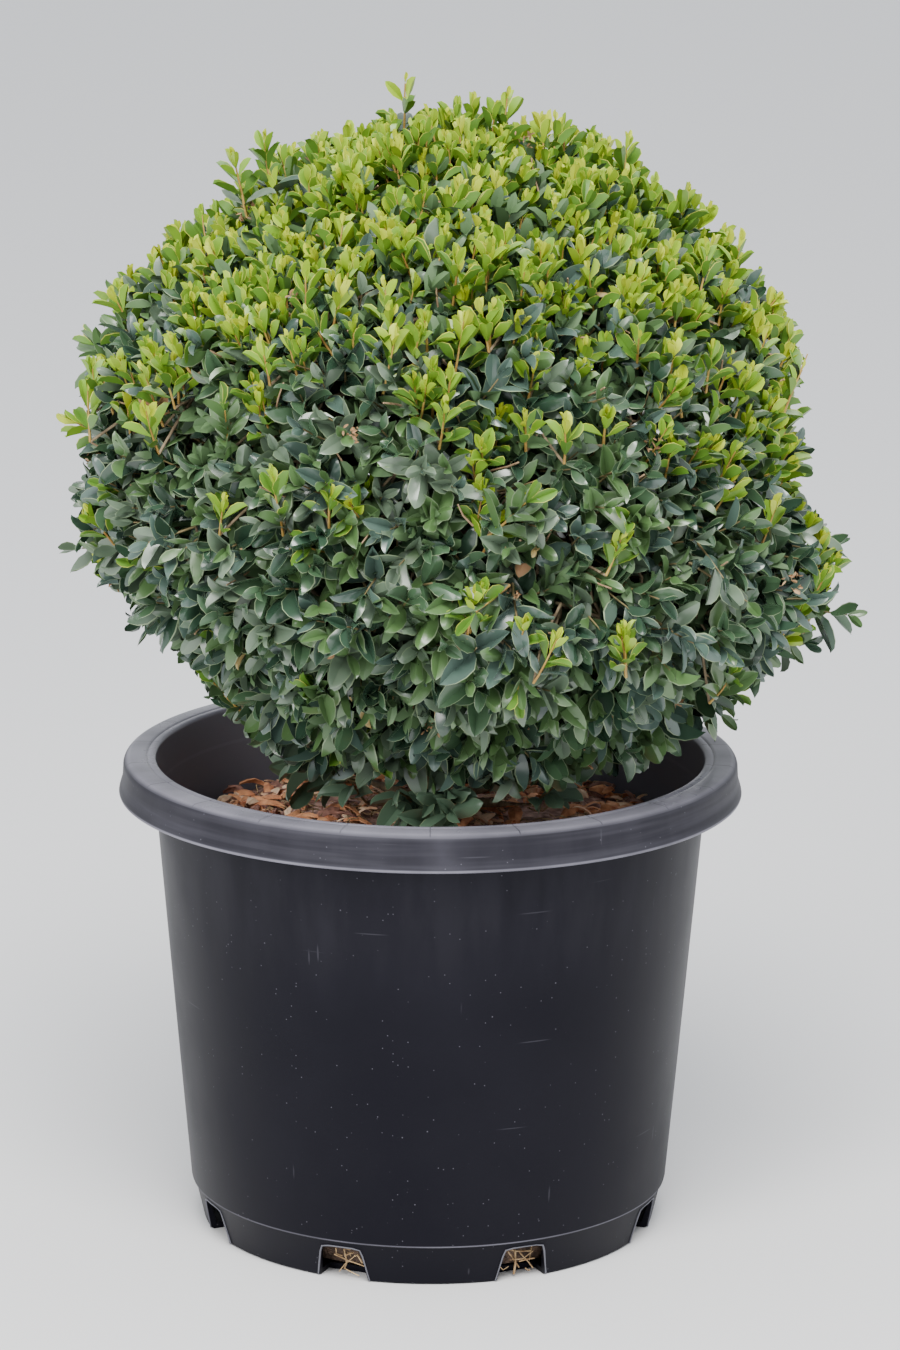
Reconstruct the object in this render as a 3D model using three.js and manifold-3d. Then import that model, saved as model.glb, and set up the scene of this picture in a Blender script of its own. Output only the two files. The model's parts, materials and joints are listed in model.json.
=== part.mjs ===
// A clipped box ball in a black nursery pot, in millimetres, +Z up.
// The origin is the centre of the pot's flat underside. The view from the front looks along +Y.
import * as THREE from "three";
import { mergeVertices } from "three/addons/utils/BufferGeometryUtils.js";
import Module from "manifold-3d";

const wasm = await Module();
wasm.setup();

// Driving dimensions of the pot
const RIM_RADIUS = 150;
const POT_HEIGHT = 231;
const WALL = 2.4;
const FLOOR = 3;
const RIM_DROP = 17.5;
const RIM_TOP_WIDTH = 13;
const RIM_BAND_FLARE = 2.8;
const RIM_EDGE_ROUND = 2;
const RIM_SKIN = 4.8;
const RIM_CROWN = 0.4;
const LIP = 2;
const LIP_ROUND = 0.6;
const WALL_RADIUS_AT_RIM = 132.8;
const STEP_RADIUS = 116;
const STEP_HEIGHT = 20;
const STEP_INSET = 1.4;
const FOOT_RADIUS = 110;
const POT_SEGMENTS = 48;
const NOTCHES = 8;
const NOTCH_TURN = 23.7;
const NOTCH_WIDTH_TOP = 20;
const NOTCH_WIDTH_FOOT = 26;
const NOTCH_HEIGHT = 17;
const NOTCH_DEPTH = 12;

// Driving dimensions of the potting mix and the limbs
const GAP = 0.3;
const MIX_EDGE_HEIGHT = 189;
const MIX_CROWN_HEIGHT = 194;
const MIX_FLAT_RADIUS = 20;
const MIX_RINGS = [90, 45];
const MIX_SEGMENTS = 40;
const TRUNK_TOP = new THREE.Vector3(3, 1, 230);
const TRUNK_FOOT_RADIUS = 14;
const TRUNK_TOP_RADIUS = 7;
const TRUNK_TAPER = 2.5;
const FLARE_SHARE = 0.35;
const BOUGHS = 4;
const BOUGH_START = 0.62;
const BOUGH_OUT = 40;
const BOUGH_TOP = 254;
const BOUGH_RISE = 12;
const BOUGH_RADII = [4.6, 3.2];
const LOW_BOUGHS = 6;
const LOW_BOUGH_START = 0.3;
const LOW_BOUGH_OUT = 30;
const LOW_BOUGH_HEIGHT = 210;
const LOW_BOUGH_RISE = 4;
const LOW_BOUGH_RADII = [3, 2.2];

// Driving dimensions of the clipped ball. Each row of its reach is the angle from straight up in
// degrees, then how far the leaf tips stand from the centre on the right and on the left.
const CENTRE = new THREE.Vector3(0, 0, 362);
const REACH = [
  [0, 192, 192],
  [20, 190, 181],
  [35, 190, 178],
  [50, 190, 183],
  [60, 193, 187],
  [75, 184, 179],
  [90, 180, 174],
  [100, 202, 172],
  [108, 201, 160],
  [118, 188, 148],
  [130, 180, 146],
  [145, 170, 149],
  [160, 160, 150],
  [180, 154, 154],
];
const LUMP = 0.025;
const CORE_SHARE = 0.83;
const CORE_DETAIL = 3;
const CORE_UNDERSIDE = 246;
const BALL_FLOOR = 227;
const RIM_CLEARANCE = 7;
const LIMBS = 7;
const LIMB_REACH = 0.45;
const LIMB_RADIUS = 4;
const LIMB_CLEARANCE = 3.5;
const CLEARANCE_STEPS = 8;
const STEM_SHARE = 0.6;
const TWIGS = 110;
const TWIG_REACH = 0.82;
const TWIG_ROOT_SHARE = 0.68;
const TWIG_STEP = 2;
const TWIG_RADII = [2.4, 1.6];
const SEED_LIMBS = 11;
const SEED_TWIGS = 23;
const SEED_LEAVES = 37;

// Long shoots that stand out of the clipped form: how far right of the origin each tip is, how
// far behind it and how high
const LONG_SHOOTS = [
  [-15, 12, 555],
  [-94, -20, 525],
  [95, 15, 528],
  [146, 30, 468],
  [163, -10, 459],
  [-177, 5, 394],
  [-172, -15, 333],
  [-146, 8, 287],
  [198, 12, 329],
  [202, -8, 300],
  [187, 20, 277],
  [147, -6, 249],
];
const SHOOT_SPLAY = 28;

// Driving dimensions of a spray: pairs of leaves set crosswise up a twig
const LEAF_LENGTH = 44;
const LEAF_WIDTH = 23;
const LEAF_THICKNESS = 1.3;
const LEAF_WIDEST = 0.55;
const LEAF_SHOULDER = 0.78;
const LEAF_TESTED_AT = [0.12, 0.4, 0.7, 1];
const LEAF_ROOT = 1.2;
const LEAF_SIZE_SPREAD = 0.2;
const PAIRS = 2;
const PAIR_STEP = 13;
const LOWEST_SPLAY = 70;
const HIGHEST_SPLAY = 54;
const SPLAY_SPREAD = 24;
const UPWARD = 0.3;
const JITTER = 0.5;

// Driving dimensions of the low sprays that hang under the ball
const SPRAY_TOP = BALL_FLOOR - 1;
const SPRAY_TWIGS = 6;
const SPRAY_FAN = 1.5;
const SPRAY_TWIG_LENGTHS = [14, 38];
const SPRAY_TWIG_RADIUS = 1.4;
const SPRAY_DIP = 0.2;
const SPRAY_ROLL = 0.5;
const SPRAY_LEAF_LENGTH = 27;
const SPRAY_LEAF_WIDTH = 15;
const SPRAY_SPLAY = 34;
const SPRAY_CROSS = 0.7;
const SPRAY_FOOT_REACH = 74;
const SPRAY_TOP_REACH = 100;
const SPRAY_SIDE_GAP = 1;
const SPRAY_MIX_GAP = 1.5;
const SPRAY_STEM_LENGTH = 8;
const SEED_SPRAYS = 53;

const MERGE_DISTANCE = 1e-4;
const UP = new THREE.Vector3(0, 0, 1);
const RIGHT = new THREE.Vector3(1, 0, 0);
const GOLDEN_ANGLE = Math.PI * (3 - Math.sqrt(5));

const plain = (colour, roughness) =>
  new THREE.MeshStandardMaterial({ color: colour, roughness, metalness: 0 });
const potPlastic = plain(0x26262b, 0.45);
const pottingMix = plain(0x3a2419, 0.95);
const bark = plain(0x7a6a4c, 0.85);
const darkLeaf = plain(0x35502f, 0.4);
const freshLeaf = plain(0x6f8c35, 0.45);

// A seeded source of numbers from 0 to 1
function seeded(seed) {
  let state = seed >>> 0;
  return () => {
    state = (state + 0x6d2b79f5) >>> 0;
    let t = state;
    t = Math.imul(t ^ (t >>> 15), t | 1);
    t ^= t + Math.imul(t ^ (t >>> 7), t | 61);
    return ((t ^ (t >>> 14)) >>> 0) / 4294967296;
  };
}

// Solids

function solidOf(geometry) {
  const bare = geometry.clone();
  bare.deleteAttribute("normal");
  bare.deleteAttribute("uv");
  const merged = mergeVertices(bare, MERGE_DISTANCE);
  return new wasm.Manifold(
    new wasm.Mesh({
      numProp: 3,
      vertProperties: new Float32Array(merged.attributes.position.array),
      triVerts: new Uint32Array(merged.index.array),
    }),
  );
}

function geometryOf(solid) {
  const mesh = solid.getMesh();
  const geometry = new THREE.BufferGeometry();
  geometry.setAttribute("position", new THREE.BufferAttribute(mesh.vertProperties, 3));
  geometry.setIndex(new THREE.BufferAttribute(mesh.triVerts, 1));
  geometry.computeVertexNormals();
  return geometry;
}

// Joins solids two by two, so that no step carries the whole mass
function joined(solids) {
  let left = solids;
  while (left.length > 1) {
    const next = [];
    for (let i = 0; i < left.length; i += 2) {
      next.push(i + 1 < left.length ? left[i].add(left[i + 1]) : left[i]);
    }
    left = next;
  }
  return left[0];
}

// The largest body of a solid: loose scraps are dropped and sealed hollows are filled
function largestBody(solid) {
  const bodies = solid.decompose();
  return bodies.reduce((best, body) => (body.volume() > best.volume() ? body : best));
}

// A lathe round Z from a profile of radius and height pairs
function lathe(profile, segments) {
  const points = profile.map(([radius, height]) => new THREE.Vector2(radius, height));
  return new THREE.LatheGeometry(points, segments).rotateX(Math.PI / 2);
}

// A limb with closed ends along a curve, its radius set by a function of the share of its length
function limb(curve, radiusAt, sides, steps) {
  const geometry = new THREE.CylinderGeometry(1, 1, 1, sides, steps);
  const frames = curve.computeFrenetFrames(steps, false);
  const place = geometry.attributes.position;
  for (let i = 0; i < place.count; i++) {
    const step = Math.round((0.5 - place.getY(i)) * steps);
    const share = step / steps;
    const radius = radiusAt(share);
    const spot = curve
      .getPoint(share)
      .addScaledVector(frames.normals[step], place.getX(i) * radius)
      .addScaledVector(frames.binormals[step], place.getZ(i) * radius);
    place.setXYZ(i, spot.x, spot.y, spot.z);
  }
  return solidOf(geometry);
}

const taper = (radii) => (share) => radii[0] + (radii[1] - radii[0]) * share;

// Pot

const wallRadius = (height) =>
  STEP_RADIUS +
  ((WALL_RADIUS_AT_RIM - STEP_RADIUS) * (height - STEP_HEIGHT)) /
    (POT_HEIGHT - RIM_DROP - STEP_HEIGHT);

// The wall rises from a stepped foot to a rolled rim, which is open underneath
function potProfile() {
  const top = POT_HEIGHT;
  const lipHeight = top - RIM_DROP;
  const rimInner = wallRadius(top) - WALL;
  const rimOuter = RIM_RADIUS - RIM_BAND_FLARE;
  return [
    [0, 0],
    [FOOT_RADIUS, 0],
    [STEP_RADIUS - STEP_INSET, STEP_HEIGHT],
    [STEP_RADIUS, STEP_HEIGHT + STEP_INSET],
    [wallRadius(lipHeight), lipHeight],
    [wallRadius(top - RIM_SKIN), top - RIM_SKIN],
    [rimOuter - LIP, top - RIM_SKIN],
    [RIM_RADIUS - LIP, lipHeight],
    [RIM_RADIUS, lipHeight],
    [RIM_RADIUS - LIP_ROUND, lipHeight + LIP],
    [rimOuter, top - RIM_EDGE_ROUND - RIM_CROWN],
    [rimOuter - RIM_EDGE_ROUND, top - RIM_CROWN],
    [rimOuter - RIM_TOP_WIDTH + RIM_EDGE_ROUND, top],
    [rimInner, top - RIM_EDGE_ROUND],
    [wallRadius(lipHeight) - WALL, lipHeight],
    [STEP_RADIUS - WALL, STEP_HEIGHT + WALL],
    [FOOT_RADIUS - WALL, FLOOR],
    [0, FLOOR],
  ];
}

// A drain notch's cutter: a wedge that is wider at the foot, pushed in from outside
function notchCutter(turn) {
  const outline = new THREE.Shape();
  outline.moveTo(-NOTCH_WIDTH_FOOT / 2, -FLOOR);
  outline.lineTo(NOTCH_WIDTH_FOOT / 2, -FLOOR);
  outline.lineTo(NOTCH_WIDTH_TOP / 2, NOTCH_HEIGHT);
  outline.lineTo(-NOTCH_WIDTH_TOP / 2, NOTCH_HEIGHT);
  const depth = 2 * NOTCH_DEPTH;
  const cutter = new THREE.ExtrudeGeometry(outline, { depth, bevelEnabled: false });
  cutter.rotateX(Math.PI / 2).translate(0, -(FOOT_RADIUS - NOTCH_DEPTH), 0);
  return solidOf(cutter.rotateZ(turn));
}

function potSolid() {
  let pot = solidOf(lathe(potProfile(), POT_SEGMENTS));
  for (let k = 0; k < NOTCHES; k++) {
    const turn = THREE.MathUtils.degToRad(NOTCH_TURN + (k * 360) / NOTCHES);
    pot = pot.subtract(notchCutter(turn));
  }
  return pot;
}

// Potting mix: it fills the pot to a low dome, just clear of the plastic
function mixHeight(radius) {
  const share = radius / (wallRadius(MIX_EDGE_HEIGHT) - WALL);
  return MIX_CROWN_HEIGHT - (MIX_CROWN_HEIGHT - MIX_EDGE_HEIGHT) * share * share;
}

function pottingMixSolid() {
  const side = (height) => wallRadius(height) - WALL - 2 * GAP;
  return solidOf(
    lathe(
      [
        [0, FLOOR + GAP],
        [FOOT_RADIUS - WALL - 2 * GAP, FLOOR + GAP],
        [side(STEP_HEIGHT) - WALL, STEP_HEIGHT],
        [side(STEP_HEIGHT + 2 * WALL), STEP_HEIGHT + 2 * WALL],
        [side(MIX_EDGE_HEIGHT), MIX_EDGE_HEIGHT],
        ...MIX_RINGS.map((radius) => [radius, mixHeight(radius)]),
        [MIX_FLAT_RADIUS, MIX_CROWN_HEIGHT],
        [0, MIX_CROWN_HEIGHT],
      ],
      MIX_SEGMENTS,
    ),
  );
}

// Trunk and boughs

const trunkFoot = new THREE.Vector3(0, 0, MIX_CROWN_HEIGHT + GAP);
const trunkCurve = new THREE.QuadraticBezierCurve3(
  trunkFoot,
  new THREE.Vector3(0, 0, (MIX_CROWN_HEIGHT + TRUNK_TOP.z) / 2),
  TRUNK_TOP,
);

function trunkRadius(share) {
  const flare = Math.max(0, 1 - share / FLARE_SHARE);
  const shaft = TRUNK_TOP_RADIUS + TRUNK_TAPER * (1 - share);
  return shaft + (TRUNK_FOOT_RADIUS - TRUNK_TOP_RADIUS - TRUNK_TAPER) * flare * flare;
}

// The trunk, thicker all round by the extra that its neighbours are cut back from
function trunkSolid(extra) {
  const stem = limb(trunkCurve, (share) => trunkRadius(share) + extra, 12, 8);
  return stem.trimByPlane([0, 0, 1], trunkFoot.z).trimByPlane([0, 0, -1], -TRUNK_TOP.z);
}

// A bough leaves the trunk at a share of its height and bends up and out to its tip
function boughCurve(turn, start, out, height, rise) {
  const foot = trunkCurve.getPoint(start);
  const way = new THREE.Vector3(Math.cos(turn), Math.sin(turn), 0);
  const bend = foot.clone().addScaledVector(way, out / 2).addScaledVector(UP, rise);
  const tip = new THREE.Vector3(TRUNK_TOP.x, TRUNK_TOP.y, height).addScaledVector(way, out);
  return new THREE.QuadraticBezierCurve3(foot, bend, tip);
}

const evenTurns = (count, offset) =>
  Array.from({ length: count }, (_, k) => offset + (k * 2 * Math.PI) / count);

const boughTurns = evenTurns(BOUGHS, Math.PI / 4);
const lowBoughTurns = evenTurns(LOW_BOUGHS, Math.PI / 6);
const boughCurves = boughTurns.map((turn) =>
  boughCurve(turn, BOUGH_START, BOUGH_OUT, BOUGH_TOP, BOUGH_RISE),
);
const lowBoughCurves = lowBoughTurns.map((turn) =>
  boughCurve(turn, LOW_BOUGH_START, LOW_BOUGH_OUT, LOW_BOUGH_HEIGHT, LOW_BOUGH_RISE),
);

// The clipped ball's form

// How far the leaf tips stand from the centre in a direction
function reachAlong(way) {
  const angle = Math.acos(THREE.MathUtils.clamp(way.z, -1, 1));
  const degrees = THREE.MathUtils.radToDeg(angle);
  const next = Math.max(1, REACH.findIndex(([row]) => row >= degrees));
  const [low, high] = [REACH[next - 1], REACH[next]];
  const share = (degrees - low[0]) / (high[0] - low[0]);
  const right = THREE.MathUtils.lerp(low[1], high[1], share);
  const left = THREE.MathUtils.lerp(low[2], high[2], share);
  const turn = Math.atan2(way.y, way.x);
  const lump = 1 + LUMP * Math.sin(3 * turn) * Math.sin(2 * angle);
  return THREE.MathUtils.lerp(left, right, 0.5 + Math.cos(turn) / 2) * lump;
}

// A point's distance from the centre as a share of the reach in its direction
function shareOfReach(point) {
  const arm = point.clone().sub(CENTRE);
  const length = arm.length();
  return length < 1e-6 ? 0 : length / reachAlong(arm.divideScalar(length));
}

// Directions spread evenly over the ball, each moved a little by chance
function spreadDirections(count, random) {
  const spacing = Math.sqrt((4 * Math.PI) / count);
  return Array.from({ length: count }, (_, i) => {
    const height = 1 - (2 * (i + 0.5)) / count;
    const level = Math.sqrt(1 - height * height);
    const turn = i * GOLDEN_ANGLE + (random() - 0.5) * JITTER * spacing;
    const lift = (random() - 0.5) * JITTER * spacing;
    const way = new THREE.Vector3(level * Math.cos(turn), level * Math.sin(turn), height + lift);
    return way.normalize();
  });
}

function coreSolid(extra) {
  const geometry = new THREE.IcosahedronGeometry(1, CORE_DETAIL);
  const place = geometry.attributes.position;
  for (let i = 0; i < place.count; i++) {
    const way = new THREE.Vector3().fromBufferAttribute(place, i).normalize();
    const spot = CENTRE.clone().addScaledVector(way, reachAlong(way) * CORE_SHARE + extra);
    place.setXYZ(i, spot.x, spot.y, Math.max(spot.z, CORE_UNDERSIDE - extra));
  }
  return solidOf(geometry);
}

// Leaves

// A leaf is a thin eight-faced blade from its root to its tip, its upper side towards face
function leafSolid(root, way, face, length, width) {
  const geometry = new THREE.OctahedronGeometry(1);
  const across = new THREE.Vector3().crossVectors(way, face).normalize();
  const upper = new THREE.Vector3().crossVectors(across, way).normalize();
  const middle = root.clone().addScaledVector(way, length * LEAF_WIDEST);
  const place = geometry.attributes.position;
  for (let i = 0; i < place.count; i++) {
    const along = place.getY(i);
    const spot = middle
      .clone()
      .addScaledVector(way, along * length * (along > 0 ? 1 - LEAF_WIDEST : LEAF_WIDEST))
      .addScaledVector(across, (place.getX(i) * width) / 2)
      .addScaledVector(upper, (place.getZ(i) * LEAF_THICKNESS) / 2);
    place.setXYZ(i, spot.x, spot.y, spot.z);
  }
  return solidOf(geometry);
}

const allLimbs = [
  [trunkCurve, trunkRadius],
  ...boughCurves.map((curve) => [curve, taper(BOUGH_RADII)]),
  ...lowBoughCurves.map((curve) => [curve, taper(LOW_BOUGH_RADII)]),
];

// Whether a point stands clear of the trunk and every bough
function clear(point) {
  return allLimbs.every(([curve, radiusAt]) => {
    for (let i = 0; i <= CLEARANCE_STEPS; i++) {
      const share = i / CLEARANCE_STEPS;
      const away = curve.getPoint(share).distanceTo(point);
      if (away < radiusAt(share) + LIMB_CLEARANCE) return false;
    }
    return true;
  });
}

// A straight twig is clear when spots along it are
const twigClear = (root, tip) =>
  [0, 0.25, 0.5, 0.75, 1].every((share) => clear(root.clone().lerp(tip, share)));

// The spots of a leaf that its space is tested at: along its midrib and at its two sides
function leafSpots(root, way, axis, length, width) {
  const across = new THREE.Vector3().crossVectors(way, axis).normalize();
  const along = (share) => root.clone().addScaledVector(way, length * share);
  return [
    ...LEAF_TESTED_AT.map(along),
    along(LEAF_WIDEST).addScaledVector(across, width / 2),
    along(LEAF_WIDEST).addScaledVector(across, -width / 2),
    along(LEAF_SHOULDER).addScaledVector(across, width / 4),
    along(LEAF_SHOULDER).addScaledVector(across, -width / 4),
  ];
}

// Pairs of leaves set crosswise down a twig from its tip, where they keep to the mass's own space
function leavesOnTwig(tip, axis, turn, size, random, inSpace) {
  const upright = Math.abs(axis.z) > 0.9;
  const sideways = new THREE.Vector3().crossVectors(axis, upright ? RIGHT : UP).normalize();
  sideways.applyAxisAngle(axis, turn);
  const leaves = [];
  for (let pair = 0; pair < PAIRS; pair++) {
    const splay = THREE.MathUtils.lerp(size.splay, LOWEST_SPLAY, pair / (PAIRS - 1));
    const root = tip.clone().addScaledVector(axis, -LEAF_ROOT - pair * PAIR_STEP);
    for (const side of [0, Math.PI]) {
      const out = sideways.clone().applyAxisAngle(axis, side + pair * size.cross);
      const open = THREE.MathUtils.degToRad(splay + (random() - 0.5) * SPLAY_SPREAD);
      const way = axis.clone().multiplyScalar(Math.cos(open)).addScaledVector(out, Math.sin(open));
      const length = size.length * (1 + (random() - 0.5) * LEAF_SIZE_SPREAD);
      if (leafSpots(root, way, axis, length, size.width).every(inSpace)) {
        leaves.push(leafSolid(root, way, axis, length, size.width));
      }
    }
  }
  return leaves;
}

// The ball: one stem, its limbs, and twigs that carry the leaves out of a closed core
function ballSolid() {
  const clearOfPot = (point) =>
    Math.hypot(point.x, point.y) < WALL_RADIUS_AT_RIM - RIM_CLEARANCE ||
    point.z > POT_HEIGHT + RIM_CLEARANCE;
  const open = (point) => point.z >= BALL_FLOOR && clearOfPot(point) && clear(point);
  const inBall = (point) => shareOfReach(point) <= 1 && open(point);
  const stemFoot = TRUNK_TOP.clone().add(new THREE.Vector3(0, 0, GAP));
  const stemTop = stemFoot.clone().lerp(CENTRE, STEM_SHARE);
  const stemRadii = taper([TRUNK_TOP_RADIUS, LIMB_RADIUS]);
  const stem = limb(new THREE.LineCurve3(stemFoot, stemTop), stemRadii, 8, 2);
  const parts = [coreSolid(0), stem.trimByPlane([0, 0, 1], stemFoot.z)];
  const limbTips = spreadDirections(LIMBS, seeded(SEED_LIMBS)).map((way) => ({
    way,
    tip: CENTRE.clone().addScaledVector(way, reachAlong(way) * LIMB_REACH),
  }));
  for (const { tip } of limbTips) {
    parts.push(limb(new THREE.LineCurve3(stemTop, tip), taper([LIMB_RADIUS, TWIG_RADII[0]]), 3, 1));
  }
  const random = seeded(SEED_LEAVES);
  const addSprig = (tip, axis, splay, inSpace) => {
    const size = { length: LEAF_LENGTH, width: LEAF_WIDTH, cross: Math.PI / 2, splay };
    const root = tip.clone();
    while (shareOfReach(root) > TWIG_ROOT_SHARE) root.addScaledVector(axis, -TWIG_STEP);
    const leaves = leavesOnTwig(tip, axis, random() * Math.PI, size, random, inSpace);
    if (!leaves.length || !twigClear(root, tip)) return;
    parts.push(limb(new THREE.LineCurve3(root, tip), taper(TWIG_RADII), 3, 1), ...leaves);
  };
  for (const way of spreadDirections(TWIGS, seeded(SEED_TWIGS))) {
    const tip = CENTRE.clone().addScaledVector(way, reachAlong(way) * TWIG_REACH);
    if (!open(tip)) continue;
    const parent = limbTips.reduce((best, each) =>
      each.way.dot(way) > best.way.dot(way) ? each : best,
    );
    const grown = tip.clone().sub(parent.tip).normalize().lerp(way, 0.5);
    addSprig(tip, grown.addScaledVector(UP, UPWARD).normalize(), HIGHEST_SPLAY, inBall);
  }
  for (const [right, behind, height] of LONG_SHOOTS) {
    const end = new THREE.Vector3(right, behind, height);
    const axis = end.clone().sub(CENTRE).normalize();
    const leafRise = LEAF_LENGTH * Math.cos(THREE.MathUtils.degToRad(SHOOT_SPLAY));
    addSprig(end.addScaledVector(axis, -leafRise), axis, SHOOT_SPLAY, open);
  }
  return largestBody(joined(parts));
}

// A low spray: a stem from its bough's tip, and twigs that fan out over the potting mix
function lowSpraySolid(number) {
  const curve = lowBoughCurves[number];
  const turn = lowBoughTurns[number];
  const ahead = curve.getTangent(1);
  const half = Math.PI / LOW_BOUGHS;
  const inSpray = (point) => {
    const radius = Math.hypot(point.x, point.y);
    const off = Math.atan2(point.y, point.x) - turn;
    const aside = Math.atan2(Math.sin(off), Math.cos(off));
    const inSector = radius * Math.sin(half - Math.abs(aside)) > SPRAY_SIDE_GAP;
    const height = (point.z - MIX_CROWN_HEIGHT) / (SPRAY_TOP - MIX_CROWN_HEIGHT);
    const floor = mixHeight(radius) + SPRAY_MIX_GAP;
    const inHeight = point.z > floor && point.z < SPRAY_TOP - LEAF_THICKNESS;
    const inReach = radius < THREE.MathUtils.lerp(SPRAY_FOOT_REACH, SPRAY_TOP_REACH, height);
    return inSector && inHeight && inReach && clear(point);
  };
  const foot = curve.getPoint(1).addScaledVector(ahead, GAP);
  const fork = foot.clone().addScaledVector(ahead, SPRAY_STEM_LENGTH);
  const stemRadii = taper([LOW_BOUGH_RADII[1], SPRAY_TWIG_RADIUS]);
  const parts = [limb(new THREE.LineCurve3(foot, fork), stemRadii, 6, 1)];
  const random = seeded(SEED_SPRAYS + number);
  const size = {
    length: SPRAY_LEAF_LENGTH,
    width: SPRAY_LEAF_WIDTH,
    cross: SPRAY_CROSS,
    splay: SPRAY_SPLAY,
  };
  const start = fork.clone().addScaledVector(ahead, -SPRAY_STEM_LENGTH / 2);
  for (let k = 0; k < SPRAY_TWIGS; k++) {
    const aside = turn + (k / (SPRAY_TWIGS - 1) - 0.5) * SPRAY_FAN;
    const lift = (random() - 0.5) * 2 * SPRAY_DIP;
    const roll = (random() - 0.5) * SPRAY_ROLL;
    const way = new THREE.Vector3(Math.cos(aside), Math.sin(aside), lift).normalize();
    const tip = fork.clone().addScaledVector(way, SPRAY_TWIG_LENGTHS[k % 2]);
    const leaves = leavesOnTwig(tip, way, roll, size, random, inSpray);
    if (!leaves.length || !inSpray(tip)) continue;
    const twig = new THREE.LineCurve3(start, tip);
    parts.push(limb(twig, () => SPRAY_TWIG_RADIUS, 3, 1), ...leaves);
  }
  return largestBody(joined(parts));
}

// Assembly

const plant = new THREE.Group();

function addNode(name, solid, material) {
  const mesh = new THREE.Mesh(geometryOf(solid), material);
  mesh.name = name;
  plant.add(mesh);
}

addNode("pot", potSolid(), potPlastic);
addNode("potting_mix", pottingMixSolid(), pottingMix);
addNode("trunk", trunkSolid(0), bark);

const fatTrunk = trunkSolid(GAP);
const fatCore = coreSolid(GAP);
boughCurves.forEach((curve, k) => {
  const solid = limb(curve, taper(BOUGH_RADII), 8, 6).subtract(fatTrunk).subtract(fatCore);
  addNode(`bough_${k + 1}`, largestBody(solid), bark);
});
lowBoughCurves.forEach((curve, k) => {
  const solid = limb(curve, taper(LOW_BOUGH_RADII), 6, 4).subtract(fatTrunk);
  addNode(`low_bough_${k + 1}`, largestBody(solid), bark);
});

addNode("foliage_ball", ballSolid(), freshLeaf);
lowBoughCurves.forEach((_, k) => addNode(`low_spray_${k + 1}`, lowSpraySolid(k), darkLeaf));

export default plant;
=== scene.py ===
"""A clipped box ball in a black nursery pot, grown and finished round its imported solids."""

import json
import math
from functools import partial, reduce

import bpy
import numpy as np
from bpy.props import FloatProperty, FloatVectorProperty, IntProperty, PointerProperty
from mathutils import Matrix, Quaternion, Vector, noise

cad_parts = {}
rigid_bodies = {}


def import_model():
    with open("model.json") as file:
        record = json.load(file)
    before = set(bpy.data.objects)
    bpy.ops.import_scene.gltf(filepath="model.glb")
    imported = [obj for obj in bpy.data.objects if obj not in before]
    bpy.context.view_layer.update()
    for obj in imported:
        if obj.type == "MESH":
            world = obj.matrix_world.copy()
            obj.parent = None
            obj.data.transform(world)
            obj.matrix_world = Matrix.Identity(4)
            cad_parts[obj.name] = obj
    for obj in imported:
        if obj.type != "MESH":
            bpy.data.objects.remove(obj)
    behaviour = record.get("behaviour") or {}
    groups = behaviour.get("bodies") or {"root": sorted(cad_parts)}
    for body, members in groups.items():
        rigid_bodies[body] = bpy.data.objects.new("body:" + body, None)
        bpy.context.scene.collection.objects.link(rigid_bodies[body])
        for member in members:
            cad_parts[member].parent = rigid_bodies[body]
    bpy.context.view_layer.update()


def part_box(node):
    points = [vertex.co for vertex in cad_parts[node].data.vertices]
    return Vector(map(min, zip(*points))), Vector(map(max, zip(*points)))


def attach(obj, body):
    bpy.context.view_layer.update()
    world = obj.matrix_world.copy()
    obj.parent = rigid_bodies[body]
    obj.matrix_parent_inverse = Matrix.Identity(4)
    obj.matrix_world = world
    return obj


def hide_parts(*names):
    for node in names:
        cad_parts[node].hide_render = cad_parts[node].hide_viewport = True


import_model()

bl_info = {
    "name": "Box Ball in a Nursery Pot",
    "version": (1, 0, 0),
    "blender": (4, 5, 0),
    "location": "3D View > Sidebar > Box Ball",
    "description": "Grows a clipped box ball from its limbs and sets it in its pot",
    "category": "Add Mesh",
}

MM = 0.001
TINY = 1e-6
FULL_TURN = 2 * math.pi
GOLDEN_ANGLE = math.pi * (3 - math.sqrt(5))
UP = Vector((0, 0, 1))
RIGHT = Vector((1, 0, 0))
BODY = "root"

# The pot and its mix, read from their solids where they can be
POT_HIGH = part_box("pot")[1]
MIX_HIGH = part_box("potting_mix")[1]
TRUNK_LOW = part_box("trunk")[0]
BALL_LOW, BALL_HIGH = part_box("foliage_ball")
RIM_RADIUS = POT_HIGH.x
POT_HEIGHT = POT_HIGH.z
LIP_HEIGHT = POT_HEIGHT - 17.5 * MM
WALL_RADIUS_AT_RIM = 132.8 * MM
WALL = 2.4 * MM
POT_FLOOR = 3 * MM
STEP_HEIGHT = 20 * MM
STEP_RADIUS = 116 * MM
FOOT_RADIUS = 110 * MM
# The foot's top just under the step
FOOT_TOP_RADIUS = STEP_RADIUS - 1.6 * MM
FOOT_TOP_HEIGHT = STEP_HEIGHT - 0.6 * MM
# Edges of the pot that bend by more than this stay sharp
SHARP_ANGLE = math.radians(38)
NOTCHES = 8
NOTCH_TURN = math.radians(23.7)
NOTCH_TURNS = [NOTCH_TURN + k * FULL_TURN / NOTCHES for k in range(NOTCHES)]
NOTCH_HEIGHT = 17 * MM
NOTCH_HALF_TOP = 10 * MM
NOTCH_HALF_FOOT = 13 * MM
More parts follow.
